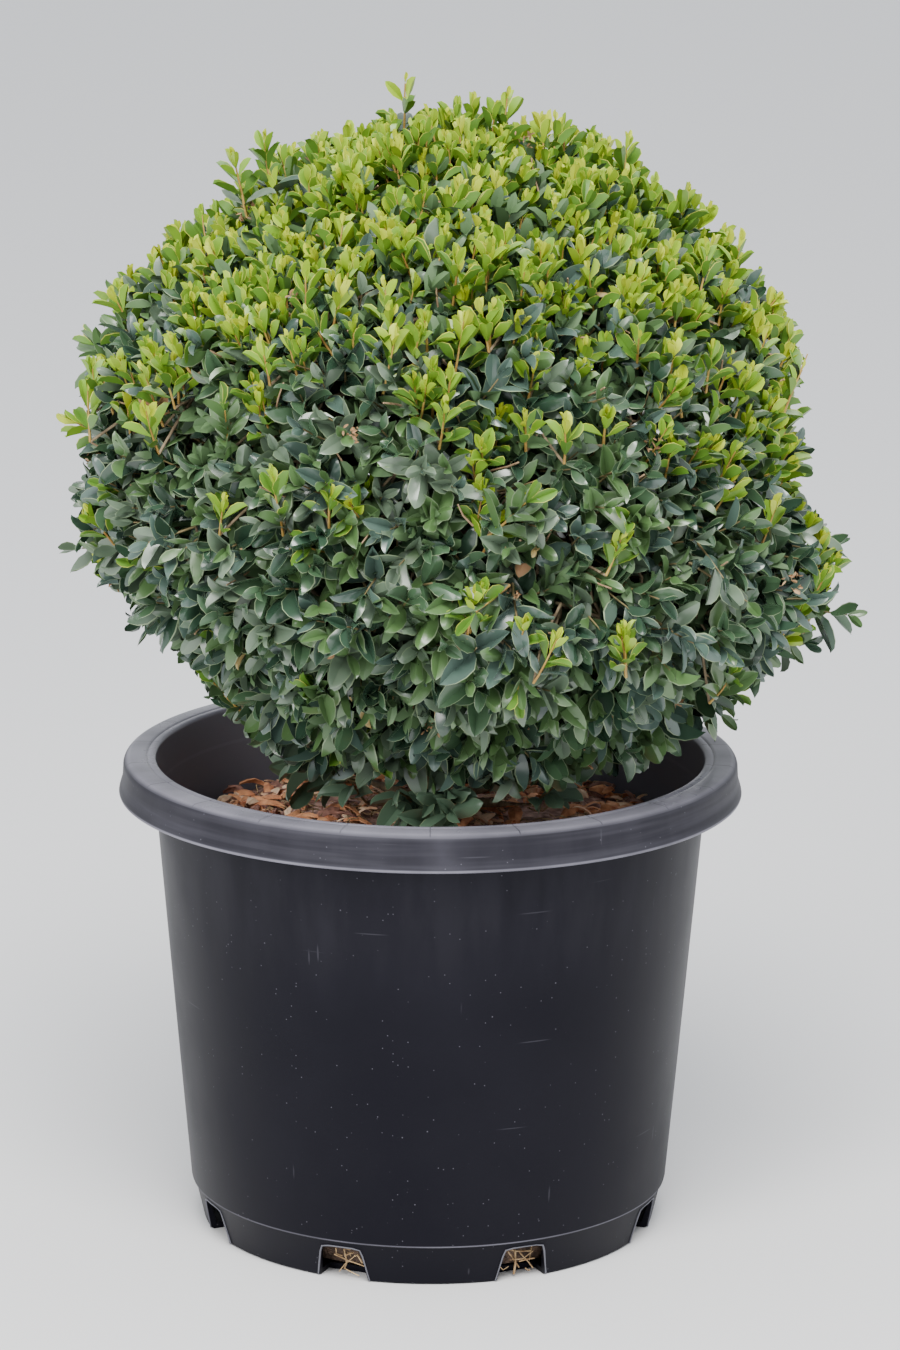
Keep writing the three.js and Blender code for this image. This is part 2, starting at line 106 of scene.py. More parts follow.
# Half of a notch's edge, upwards: across it and up it, in millimetres
NOTCH_EDGE = [(13.1, 0.6), (12.4, 4.5), (10.7, 13.6), (9.6, 16.6), (6, 17.3)]
NOTCH_OUTLINE = [(-x, z) for x, z in NOTCH_EDGE] + [(0, 17.4)] + NOTCH_EDGE[::-1]
NOTCH_STRAWS = 9
# Faint seams that cross the rim's top
SEAMS = 22
# Pale lines along the step, the lip and the rim's top outer edge, as painted highlights: the
# height, half the width and how pale each line is
EDGE_LINES = (
    (STEP_HEIGHT + 0.6 * MM, 0.75 * MM, 0.6),
    (LIP_HEIGHT + 0.1 * MM, 1.25 * MM, 1.0),
    (POT_HEIGHT - 1.5 * MM, 0.8 * MM, 0.3),
)
MIX_EDGE_RADIUS = MIX_HIGH.x
MIX_EDGE_HEIGHT = MIX_HIGH.z - 5 * MM
# How far its relief stands below the solid's top, and its lumps and grit: the scale, smoothness,
# step and number of their octaves, and their height in mm
MIX_SINK = 1.2 * MM
MIX_RELIEF = ((40, 0.9, 2.1, 4, 2.6), (210, 0.8, 2.0, 2, 0.9))
MIX_RINGS = 56
MIX_SEGMENTS = 150
# The mix's side and underside: radius and height
MIX_SIDE = [(112 * MM, 60 * MM), (97 * MM, 3.6 * MM), (0.0, 3.6 * MM)]
# How many flakes of each kind there may be, and their size beside the chip length
MULCH_LAYERS = (("mulch_dark", 820, 0.42), ("mulch_red", 820, 0.6), ("mulch_tan", 760, 0.42))
FLAKE_KINDS = 6
# Fibres, the points of each and the step between these in mm
FIBRES = 400
FIBRE_POINTS = 5
FIBRE_STEP = 3.6
# How far flakes and fibres keep from the mix's edge
FLAKE_MARGIN = 9 * MM
FIBRE_MARGIN = 18 * MM

# The crown's form, by the solids' own rule: the angle from straight up in degrees, then how far
# the leaf tips stand from the centre on the right and on the left
CENTRE = Vector((0, 0, 362 * MM))
REACH = [
    (0, 192, 192), (20, 190, 181), (35, 190, 178), (50, 190, 183), (60, 193, 187),
    (75, 184, 179), (90, 180, 174), (100, 202, 172), (108, 201, 160), (118, 188, 148),
    (130, 180, 146), (145, 170, 149), (160, 160, 150), (180, 154, 154),
]
# How much the form swells and sinks on the way round, as a share of the reach
LUMP = 0.025
TRUNK_TOP = Vector((3 * MM, 1 * MM, 230 * MM))
# The lowest height that the ball's leaves come down to
BALL_FLOOR = 227 * MM
# How far out leaf tips and the feet of shoots may stand, as shares of the reach
TIP_LIMIT = 1.015
FOOT_LIMIT = 0.97
# The ball's limbs, how far out they reach, and where they fork between trunk and centre
LIMBS = 7
LIMB_REACH = 0.45
STEM_SHARE = 0.6
STEM_TOP = TRUNK_TOP.lerp(CENTRE, STEM_SHARE)
SEED_LIMBS = 11
# The ridges of the bark, finer across the limb than along it, and its knots
RIDGE_SCALE = Vector((240, 240, 70))
RIDGE_HEIGHT = 0.09
KNOT_SCALE = 60
# How far chance moves the directions of limbs and shoots, as a share of their spacing
JITTER = 0.5
# How far leaves may pass the box of the ball's solid
MARGIN = Vector((2 * MM, 2 * MM, 1 * MM))
# How many finer twigs there are, how far they reach and how thick they are at the foot, in mm
BRANCHING = ((70, 0.64, 2.2), (430, 0.8, 1.2))
# How deep the shaded leaves lie and on how many shoots
INNER_LAYERS = ((0.74, 760), (0.6, 420))
INNER_LENGTH = 20 * MM
# The tips of shoots that stand out of the ball: right of, behind and above the mid-foot, in mm
LONG_SHOOTS = [
    (-15, 12, 555), (-94, -20, 525), (95, 15, 528), (146, 30, 468), (163, -10, 459),
    (-177, 5, 394), (-172, -15, 333), (-146, 8, 287), (198, 12, 329), (202, -8, 300),
    (187, 20, 277), (147, -6, 249),
]
# Smaller shoots that stand out, in the same way
SMALL_SHOOTS = [
    (34, 4, 549), (-80, -8, 531), (121, 6, 503),
    (-121, 2, 486), (-154, -12, 458), (168, -2, 424),
]
# Shoots of both lists end in new growth if their tips stand above this height, in mm
FRESH_ABOVE = 380
# How full each low spray is and how far it leans round, from the back right by the back and left
LOW_SPRAYS = ((0.6, 0), (1, 0), (0.7, 0), (0.12, 0.47), (1.2, -0.3), (0.1, 0))
# Clipped twig ends, and clusters of dead scraps
CUT_ENDS = 230
DEAD_CLUSTERS = 44
# Where the hollows of the clipped surface fall
POCKET_SHIFT = Vector((7.3, 2.1, 5.7))
# Where its clumps fall
CLUMP_SHIFT = Vector((3, 1, 4))

# New growth from its yellow tips down to its greener foot, and the tones of full-grown leaves
FRESH_SHADES = ("fresh_lime", "fresh_pale", "fresh_mid", "fresh_deep")
OLD_SHADES = ("old_dark", "old_mid", "old_blue", "old_green", "old_soft")
# New growth's step between pairs beside an old shoot's, and leaves' width beside their length
FRESH_STEP = 0.64
FRESH_WIDTH = 0.4
OLD_WIDTH = 0.44
# The leaves' length from a shoot's tip down, as shares of the full length
FRESH_SIZES = (0.42, 0.74, 0.95, 1.08, 1.1)
OLD_SIZES = (0.62, 0.88, 1.0, 1.0, 0.95)
# How often a pair on an old shoot is of another tone, yellowed or dead
OTHER_TONE = 0.3
YELLOWED = 0.004
DEAD = 0.003
YELLOWED_SIZE = 0.65
# How often a fresh shoot starts from a pair of full-grown leaves
FRESH_ON_OLD = 0.25
# A shoot's radius at its foot, and by how much it thins to its tip, in mm
SHOOT_RADIUS = 0.75
SHOOT_TAPER = 0.4
# The colour and roughness of each shade of leaf
SHADES = {
    "fresh_lime": ((0.42, 0.5, 0.02, 1), 0.42),
    "fresh_pale": ((0.27, 0.41, 0.018, 1), 0.4),
    "fresh_mid": ((0.165, 0.31, 0.02, 1), 0.38),
    "fresh_deep": ((0.09, 0.2, 0.022, 1), 0.36),
    "old_dark": ((0.026, 0.058, 0.034, 1), 0.23),
    "old_mid": ((0.046, 0.094, 0.046, 1), 0.25),
    "old_blue": ((0.062, 0.105, 0.084, 1), 0.23),
    "old_green": ((0.071, 0.14, 0.046, 1), 0.28),
    "old_soft": ((0.105, 0.152, 0.1, 1), 0.3),
    # Painted light: the inner leaves are lighter than the outer ones, so the gaps between leaves
    # render less dark
    "inner": ((0.08, 0.145, 0.06, 1), 0.45),
    # Painted light: the low sprays' leaves are lighter than the ball's, for the shade under the
    # ball
    "low_dark": ((0.1, 0.165, 0.105, 1), 0.34),
    "yellowed": ((0.56, 0.42, 0.17, 1), 0.5),
    "dead": ((0.33, 0.18, 0.085, 1), 0.7),
    "husk": ((0.45, 0.27, 0.14, 1), 0.7),
}
# How far full-grown leaves shine, and other leaves
WAXY = 0.75
PLAIN = 0.5
# The pale edges of leaves, and the pale burrs round the notches
OLD_EDGE = (0.2, 0.265, 0.15, 1)
FRESH_EDGE = (0.52, 0.56, 0.08, 1)
EDGE_ROUGHNESS = 0.45
BURR = (0.1, 0.1, 0.12, 1)
BURR_ROUGHNESS = 0.6
# Natural stuffs: their dark and light colours, roughness, the mottle's scale, the relief's depth
# in mm, and the stretch of the mottle along Z
STUFFS = {
    # Painted light: the mix's top and the mulch are far lighter than they are, where the crown
    # shades them
    "dark potting mix": ((0.19, 0.1, 0.08, 1), (0.8, 0.5, 0.41, 1), 0.9, 170, 1.5, 1),
    # Painted shade: the mix's side and underside, seen through the notches, are darker
    "damp potting mix": ((0.05, 0.032, 0.025, 1), (0.26, 0.17, 0.12, 1), 0.8, 220, 1.5, 1),
    "mulch dark": ((0.16, 0.07, 0.055, 1), (0.55, 0.27, 0.2, 1), 0.75, 190, 0.4, 1),
    "mulch red": ((0.55, 0.19, 0.09, 1), (1, 0.5, 0.25, 1), 0.75, 190, 0.4, 1),
    "mulch tan": ((0.85, 0.47, 0.28, 1), (1, 0.78, 0.56, 1), 0.75, 190, 0.4, 1),
    "pale straw": ((0.22, 0.12, 0.05, 1), (0.66, 0.47, 0.25, 1), 0.7, 160, 0.1, 1),
    "box bark": ((0.1, 0.07, 0.04, 1), (0.32, 0.25, 0.15, 1), 0.85, 260, 0.8, 0.3),
    "fresh stem": ((0.3, 0.15, 0.03, 1), (0.42, 0.3, 0.07, 1), 0.55, 200, 0.1, 1),
    "green twig": ((0.1, 0.085, 0.03, 1), (0.24, 0.18, 0.08, 1), 0.65, 200, 0.2, 1),
    "clipped twig": ((0.22, 0.13, 0.07, 1), (0.42, 0.29, 0.17, 1), 0.8, 200, 0.1, 1),
}
# The bark and the number of sides of each kind of twig
TWIGS = {
    "limb": ("box bark", 5),
    "old": ("green twig", 4),
    "fresh": ("fresh stem", 4),
    "cut": ("clipped twig", 4),
}

# The photo's own viewpoint, worked out from the pot's rim, wall and foot
CAMERA_PLACE = Vector((0, -2.6068, 0.9140))
CAMERA_PITCH = 0.2423
CAMERA_YAW = 0.0035
CAMERA_ROLL = 0.0061
CAMERA_LENS = 149.17
SENSOR_WIDTH = 36
FLOOR_HALF = 30
SKY_COLOUR = (0.93, 0.96, 1, 1)
LAMP_COLOUR = (1, 0.985, 0.95)
LAMP_SIZE = 1.4
LAMP_AIM = Vector((0, 0, 0.3))
LAMP_PLACE = (0.1, -1.5, 2.5)
FILL_PLACE = (-1.5, -2.2, 1.5)


class PotSettings(bpy.types.PropertyGroup):
    """Sizes and colours of the pot"""

    segments: IntProperty(
        name="Segments", description="Facets round the pot", default=256, min=32
    )
    plastic: FloatVectorProperty(
        name="Plastic", description="Colour of the black plastic", subtype="COLOR",
        size=4, min=0, max=1, default=(0.003, 0.0028, 0.0052, 1),
    )
    # The dust colour also paints the rim's sky reflection, the edge highlights and the light on the
    # inside wall
    dust: FloatVectorProperty(
        name="Dust", description="Colour of the dust and scuffs on the pot", subtype="COLOR",
        size=4, min=0, max=1, default=(0.2, 0.195, 0.235, 1),
    )


class CrownSettings(bpy.types.PropertyGroup):
    """Sizes and colours of the crown"""

    shoots: IntProperty(
        name="Shoots", description="Shoots over the clipped surface", default=1500, min=100
    )
    fresh_shoots: IntProperty(
        name="Fresh shoots", description="Places where new growth may stand out",
        default=1560, min=0,
    )
    long_shoots: IntProperty(
        name="Long shoots", description="Places where a long shoot may stand out", default=60, min=1
    )
    low_shoots: IntProperty(
        name="Low shoots", description="Shoots on each low spray", default=11, min=0
    )
    leaf_length: FloatProperty(
        name="Leaf length", description="Length of a full-grown leaf", unit="LENGTH",
        subtype="DISTANCE", default=0.021,
    )
    fresh_length: FloatProperty(
        name="Fresh leaf length", description="Length of a leaf on new growth", unit="LENGTH",
        subtype="DISTANCE", default=0.0145,
    )
    pair_step: FloatProperty(
        name="Pair step", description="Stem between one pair of leaves and the next",
        unit="LENGTH", subtype="DISTANCE", default=0.0072,
    )
    seed: IntProperty(name="Seed", description="Seed of the growth", default=71)


class MulchSettings(bpy.types.PropertyGroup):
    """Sizes and counts of what lies on the potting mix"""

    chip_length: FloatProperty(
        name="Chip length", description="Length of a large bark chip", unit="LENGTH",
        subtype="DISTANCE", default=0.026,
    )
    seed: IntProperty(name="Seed", description="Seed of the mulch", default=5)


class StageSettings(bpy.types.PropertyGroup):
    """Floor and light"""

    floor: FloatVectorProperty(
        name="Floor", description="Colour of the floor", subtype="COLOR",
        size=4, min=0, max=1, default=(0.7, 0.7, 0.71, 1),
    )
    sky: FloatProperty(name="Sky", description="Strength of the light all round", default=1.35)
    lamp: FloatProperty(
        name="Lamp", description="Power of the soft lamp overhead", unit="POWER", default=113
    )
    fill: FloatProperty(
        name="Fill", description="Power of the weaker lamp on the left", unit="POWER", default=48
    )


class BoxBallSettings(bpy.types.PropertyGroup):
    """Everything a user would change"""

    pot: PointerProperty(type=PotSettings)
    crown: PointerProperty(type=CrownSettings)
    mulch: PointerProperty(type=MulchSettings)
    stage: PointerProperty(type=StageSettings)


def heading(turn, rise=0):
    """A level direction at a turn round Z, or one that rises"""
    return Vector((math.cos(turn), math.sin(turn), rise))


def between(value):
    """A value kept between 0 and 1"""
    return max(0, min(1, value))


# Chance

MASK = 0xFFFFFFFF
SEED_STEP = 0x6D2B79F5


def seeded(seed):
    """The solids' seeded source of numbers from 0 to 1"""
    state = seed & MASK

    def draw():
        nonlocal state
        state = (state + SEED_STEP) & MASK
        t = state
        t = (t ^ (t >> 15)) * (t | 1) & MASK
        t ^= (t + ((t ^ (t >> 7)) * (t | 61) & MASK)) & MASK
        return ((t ^ (t >> 14)) & MASK) / (MASK + 1)

    return draw


def stray(draw):
    """A small vector in any direction"""
    return Vector((draw() - 0.5, draw() - 0.5, draw() - 0.5))


def spread_directions(count, draw):
    """Directions spread evenly over the ball, each moved a little by chance"""
    spacing = math.sqrt(4 * math.pi / count)
    ways = []
    for i in range(count):
        height = 1 - 2 * (i + 0.5) / count
        level = math.sqrt(1 - height * height)
        turn = i * GOLDEN_ANGLE + (draw() - 0.5) * JITTER * spacing
        lift = (draw() - 0.5) * JITTER * spacing
        way = Vector((level * math.cos(turn), level * math.sin(turn), height + lift))
        ways.append(way.normalized())
    return ways


# The crown's form


def reach_along(way):
    """How far the leaf tips stand from the centre in a direction"""
    angle = math.acos(max(-1, min(1, way.z)))
    degrees = math.degrees(angle)
    upper = next((i for i, row in enumerate(REACH) if row[0] >= degrees), len(REACH) - 1)
    low, high = REACH[max(1, upper) - 1], REACH[max(1, upper)]
    share = (degrees - low[0]) / (high[0] - low[0])
    right, left = (low[k] + (high[k] - low[k]) * share for k in (1, 2))
    turn = math.atan2(way.y, way.x)
    lump = 1 + LUMP * math.sin(3 * turn) * math.sin(2 * angle)
    return (left + (right - left) * (0.5 + math.cos(turn) / 2)) * lump * MM


def out_to(way, share):
    """The point at a share of the reach in a direction"""
    return CENTRE + way * reach_along(way) * share


def share_of_reach(point):
    """A point's distance from the centre as a share of the reach in its direction"""
    arm = point - CENTRE
    length = arm.length
    return length / reach_along(arm / length) if length > TINY else 0.0


# Meshes


def scene_object(name, data):
    """An object at the origin, linked to the scene"""
    thing = bpy.data.objects.new(name, data)
    bpy.context.scene.collection.objects.link(thing)
    return thing


def new_mesh(name, points, edges=(), faces=()):
    """A mesh of points, with its edges or faces"""
    mesh = bpy.data.meshes.new(name)
    mesh.from_pydata([tuple(p) for p in points], edges, faces)
    return mesh


def carry(mesh, label, kind, rows):
    """Gives the points of a mesh a named vector, turn or number each"""
    layer = mesh.attributes.new(label, kind, "POINT")
    key = "vector" if kind == "FLOAT_VECTOR" else "value"
    numbers = np.array(rows, dtype=np.int32 if kind == "INT" else np.float32)
    layer.data.foreach_set(key, numbers.ravel())


def evaluated_mesh(thing):
    """A new mesh of an object with its modifiers applied"""
    graph = bpy.context.evaluated_depsgraph_get()
    return bpy.data.meshes.new_from_object(thing.evaluated_get(graph), depsgraph=graph)


def drop_object(thing):
    """Removes an object and its mesh"""
    mesh = thing.data
    bpy.data.objects.remove(thing)
    bpy.data.meshes.remove(mesh)


def mesh_piece(name, points, faces, material, smooth=True):
    """A mesh piece at the origin, with its place in its mesh"""
    mesh = new_mesh(name, points, faces=faces)
    mesh.validate()
    mesh.materials.append(material)
    for polygon in mesh.polygons:
        polygon.use_smooth = smooth
    return scene_object(name, mesh)


def grown_piece(name, mesh, tree, values):
    """Runs a tree on a mesh and keeps its result as a plain mesh piece"""
    base = scene_object(mesh.name, mesh)
    modifier = base.modifiers.new("grow", "NODES")
    modifier.node_group = tree
    for item in tree.interface.items_tree:
        if item.item_type == "SOCKET" and item.in_out == "INPUT" and item.name in values:
            modifier[item.identifier] = values[item.name]
    base.update_tag()
    grown = evaluated_mesh(base)
    grown.name = name
    drop_object(base)
    if not grown.polygons:
        raise RuntimeError(f"{name} came out empty")
    return scene_object(name, grown)


def finish_piece(piece, slot, *nodes):
    """Sets what a piece rides on and hides the solids that it stands for; its slot is not used"""
    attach(piece, BODY)
    if nodes:
        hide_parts(*nodes)


# Node trees


def feed(tree, node, values):
    """Sets a node's inputs to numbers, or links them to sockets or to nodes' first outputs"""
    for key, value in values.items():
        if isinstance(value, bpy.types.Node):
            value = next(socket for socket in value.outputs if socket.enabled)
        if isinstance(value, bpy.types.NodeSocket):
            tree.links.new(value, node.inputs[key])
        else:
            node.inputs[key].default_value = value


def add_node(tree, kind, values=None, **settings):
    """A node whose attributes are set by keyword and whose inputs are fed"""
    node = tree.nodes.new(kind)
    for key, value in settings.items():
        setattr(node, key, value)
    feed(tree, node, values or {})
    return node


def new_tree(name, kind, inputs, outputs):
    """A tree with named inputs, which may have defaults, and the sockets that they come in by"""
    tree = bpy.data.node_groups.new(name, kind)
    for way, rows in (("INPUT", inputs), ("OUTPUT", outputs)):
        for label, stuff, *default in rows:
            socket = tree.interface.new_socket(label, in_out=way, socket_type="NodeSocket" + stuff)
            if default:
                socket.default_value = default[0]
    return tree, add_node(tree, "NodeGroupInput").outputs


def geometry_tree(name, *inputs):
    """A geometry tree with its geometry first among its named inputs"""
    geometry = ("Geometry", "Geometry")
    return new_tree(name, "GeometryNodeTree", [geometry, *inputs], [geometry])


def mask_group(name, masks):
    """A shader group that makes masks from a place"""
    return new_tree(
        name, "ShaderNodeTree", [("Vector", "Vector")], [(label, "Float") for label in masks]
    )


def attribute_node(tree, label, kind):
    """A node that reads a named attribute"""
    return add_node(tree, "GeometryNodeInputNamedAttribute", {"Name": label}, data_type=kind)


def scatter_tree(name):
    """Stands one of a collection's shapes on each point, by the point's own turn, size and kind"""
    tree, given = geometry_tree(
        name, ("Shapes", "Collection"), ("Size", "Float", 1.0),
        ("Body", "Material"), ("Edge", "Material"),
    )
    shapes = add_node(
        tree, "GeometryNodeCollectionInfo",
        {"Collection": given["Shapes"], "Separate Children": True, "Reset Children": True},
    )
    size = attribute_node(tree, "size", "FLOAT_VECTOR")
    scaled = add_node(
        tree, "ShaderNodeVectorMath", {0: size, "Scale": given["Size"]}, operation="SCALE"
    )
    stood = {
        "Points": given["Geometry"],
        "Instance": shapes,
        "Pick Instance": True,
        "Instance Index": attribute_node(tree, "kind", "INT"),
        "Rotation": attribute_node(tree, "turn", "QUATERNION"),
        "Scale": scaled,
    }
    stand = add_node(tree, "GeometryNodeInstanceOnPoints", stood)
    real = add_node(tree, "GeometryNodeRealizeInstances", {"Geometry": stand})
    body = add_node(
        tree, "GeometryNodeSetMaterial", {"Geometry": real, "Material": given["Body"]}
    )
    is_edge = attribute_node(tree, "edge", "BOOLEAN")
    edge = add_node(
        tree, "GeometryNodeSetMaterial",
        {"Geometry": body, "Selection": is_edge, "Material": given["Edge"]},
    )
    add_node(tree, "NodeGroupOutput", {"Geometry": edge})
    return tree


def stem_tree(name):
    """Makes round stems of a mesh of edges, each point as thick as it says"""
    tree, given = geometry_tree(name, ("Sides", "Int", 4), ("Bark", "Material"))
    curves = add_node(tree, "GeometryNodeMeshToCurve", {"Mesh": given["Geometry"]})
    ring = add_node(
        tree, "GeometryNodeCurvePrimitiveCircle", {"Resolution": given["Sides"], "Radius": 1},
        mode="RADIUS",
    )
    thick = attribute_node(tree, "thick", "FLOAT")
    tubes = add_node(
        tree, "GeometryNodeCurveToMesh",
        {"Curve": curves, "Profile Curve": ring, "Scale": thick, "Fill Caps": True},
    )
    real = add_node(tree, "GeometryNodeRealizeInstances", {"Geometry": tubes})
    dress = add_node(
        tree, "GeometryNodeSetMaterial", {"Geometry": real, "Material": given["Bark"]}
    )
    add_node(tree, "NodeGroupOutput", {"Geometry": dress})
    return tree


# Shader groups and materials


def math_node(tree, operation, *values):
    """A math node, fed by nodes, sockets or numbers"""
    return add_node(tree, "ShaderNodeMath", dict(enumerate(values)), operation=operation)


def ramp_node(tree, value, low, high):
    """A smooth mask that runs from 0 at low to 1 at high"""
    values = {"Value": value, "From Min": low, "From Max": high}
    return add_node(tree, "ShaderNodeMapRange", values, interpolation_type="SMOOTHSTEP")


def noise_node(tree, vector, scale, detail):
    """A noise over a place"""
    values = {"Vector": vector, "Scale": scale, "Detail": detail}
    return add_node(tree, "ShaderNodeTexNoise", values)


def raised(tree, floor, mask):
    """A mask that runs from a floor to 1"""
    return math_node(tree, "ADD", floor, math_node(tree, "MULTIPLY", 1 - floor, mask))


def away_from(tree, value, level):
    """How far a value is from a level"""
    return math_node(tree, "ABSOLUTE", math_node(tree, "SUBTRACT", value, level))


def stretched(tree, vector, scale, turn=(0, 0, 0)):
    """A turned and stretched copy of a vector"""
    values = {"Vector": vector, "Scale": scale, "Rotation": turn}
    return add_node(tree, "ShaderNodeMapping", values)


def mix_node(tree, share, first, second):
    """A mix of two colours"""
    values = {"Factor": share, "A": first, "B": second}
    return add_node(tree, "ShaderNodeMix", values, data_type="RGBA")


def bump_node(tree, height, strength, distance):
    """A fine relief"""
    values = {"Height": height, "Strength": strength, "Distance": distance}
    return add_node(tree, "ShaderNodeBump", values)


def picked_cells(tree, vector, scale, radius, share):
    """A mask of small spots, one in some of the cells of a pattern"""
    cells = add_node(tree, "ShaderNodeTexVoronoi", {"Vector": vector, "Scale": scale})
    dice = add_node(tree, "ShaderNodeSeparateColor", {"Color": cells.outputs["Color"]})
    near = ramp_node(tree, cells.outputs["Distance"], radius, 0.4 * radius)
    chosen = math_node(tree, "GREATER_THAN", dice.outputs["Red"], 1 - share)
    return math_node(tree, "MULTIPLY", near, chosen)


def dust_group():
    """Pale specks, short scratches and a slow haze, as masks"""
    group, given = mask_group("Dust and scratches", ("Specks", "Scratches", "Haze"))
    vector = given["Vector"]
    level = stretched(group, vector, (30, 30, 700), (0.2, 0.3, 0))
    steep = stretched(group, vector, (500, 500, 34), (0.3, 0.1, 0))
    specks = (
        picked_cells(group, vector, 170, 0.08, 0.12),
        picked_cells(group, vector, 420, 0.16, 0.14),
    )
    scratches = (
        picked_cells(group, level, 1, 0.3, 0.008),
        picked_cells(group, steep, 1, 0.3, 0.006),
    )
    masks = {
        "Specks": math_node(group, "MAXIMUM", *specks),
        "Scratches": math_node(group, "MAXIMUM", *scratches),
        "Haze": ramp_node(group, noise_node(group, vector, 11, 6), 0.38, 0.72),
    }
    add_node(group, "NodeGroupOutput", masks)
    return group


def pot_marks_and_painted_light_group():
    """Dust and painted light on the pot: its rim, its edges, its inside and the flow mark on its
    front
    """
    group, given = mask_group("Rim and edge wear", ("Rim", "Top", "Edges", "Inside", "Bloom"))
    calc, ramp = partial(math_node, group), partial(ramp_node, group)
    vector = given["Vector"]
    x, y, z = add_node(group, "ShaderNodeSeparateXYZ", {"Vector": vector}).outputs
    radius = calc("SQRT", calc("ADD", calc("MULTIPLY", x, x), calc("MULTIPLY", y, y)))
    uneven = ramp(noise_node(group, vector, 26, 5), 0.25, 0.75)
    streaks = ramp(noise_node(group, stretched(group, vector, (9, 9, 230)), 1, 4), 0.35, 0.68)
    runs = ramp(noise_node(group, stretched(group, vector, (75, 75, 16)), 1, 6), 0.32, 0.72)

    # The rim band, paler: dusty smudges and painted sky reflection
    above = ramp(z, LIP_HEIGHT - 0.3 * MM, LIP_HEIGHT + 0.4 * MM)
    outside = ramp(radius, WALL_RADIUS_AT_RIM, WALL_RADIUS_AT_RIM + 3 * MM)
    rim = calc("MULTIPLY", above, outside)

    # The rim's top, paler: painted sky reflection with dust, broken by the seams
    top = ramp(z, POT_HEIGHT - 1.8 * MM, POT_HEIGHT - 0.4 * MM)
    part = calc("FRACT", calc("MULTIPLY", calc("ARCTAN2", y, x), SEAMS / FULL_TURN))
    seam = ramp(away_from(group, part, 0.5), 0.011, 0.004)
    seamless = calc("SUBTRACT", raised(group, 0.55, uneven), calc("MULTIPLY", 0.45, seam))

    # Pale lines along the edges: painted highlights; the flow mark on the front is real
    lines = []
    for height, half, share in EDGE_LINES:
        line = ramp(away_from(group, z, height), half, 0.3 * half)
        lines.append(calc("MULTIPLY", line, share))
    flow = ramp(away_from(group, x, 6 * MM), 14 * MM, 1 * MM)
    front = calc("MULTIPLY", calc("LESS_THAN", y, 0.0), rim)
    flow = calc("MULTIPLY", calc("MULTIPLY", flow, front), uneven)
    lines.append(calc("MULTIPLY", flow, 0.13))
    edges = reduce(partial(calc, "MAXIMUM"), lines)

    # The inside wall, lightened: painted light
    slope = (WALL_RADIUS_AT_RIM - STEP_RADIUS) / (LIP_HEIGHT - STEP_HEIGHT)
    wall = calc("ADD", calc("MULTIPLY", z, slope), STEP_RADIUS - STEP_HEIGHT * slope)
    within = ramp(calc("SUBTRACT", wall, radius), 0.4 * WALL, 0.8 * WALL)
    over = calc("GREATER_THAN", z, STEP_HEIGHT + 2 * MM)
    high = ramp(z, LIP_HEIGHT - 85 * MM, LIP_HEIGHT - 14 * MM)
    masks = {
        "Rim": calc("MULTIPLY", rim, raised(group, 0.35, streaks)),
        "Top": calc("MULTIPLY", top, seamless),
        "Edges": calc("MULTIPLY", edges, raised(group, 0.45, uneven)),
        "Inside": calc("MULTIPLY", within, over),
        "Bloom": calc("MULTIPLY", high, raised(group, 0.3, runs)),
    }
    add_node(group, "NodeGroupOutput", masks)
    return group


def grain_group():
    """A mottled grain: a mask from 0 to 1 and a finer height"""
    group, given = new_tree(
        "Mottled grain", "ShaderNodeTree",
        [("Vector", "Vector"), ("Scale", "Float", 60.0), ("Stretch", "Vector", (1, 1, 1))],
        [("Mottle", "Float"), ("Height", "Float")],
    )
    values = {0: given["Vector"], 1: given["Stretch"]}
    vector = add_node(group, "ShaderNodeVectorMath", values, operation="MULTIPLY")
    broad = noise_node(group, vector, given["Scale"], 6)
    values = {"Value": broad, "From Min": 0.32, "From Max": 0.7}
    mottle = add_node(group, "ShaderNodeMapRange", values)
    fine = noise_node(group, vector, math_node(group, "MULTIPLY", given["Scale"], 3.5), 4)
    add_node(group, "NodeGroupOutput", {"Mottle": mottle, "Height": fine})
    return group


def new_material(name, colour, roughness):
    """A material with its node tree and its Principled shader"""
    material = bpy.data.materials.new(name)
    material.use_nodes = True
    tree = material.node_tree
    shader = next(n for n in tree.nodes if n.type == "BSDF_PRINCIPLED")
    feed(tree, shader, {"Base Color": colour, "Roughness": roughness})
    material.diffuse_color = colour
    return material, tree, shader


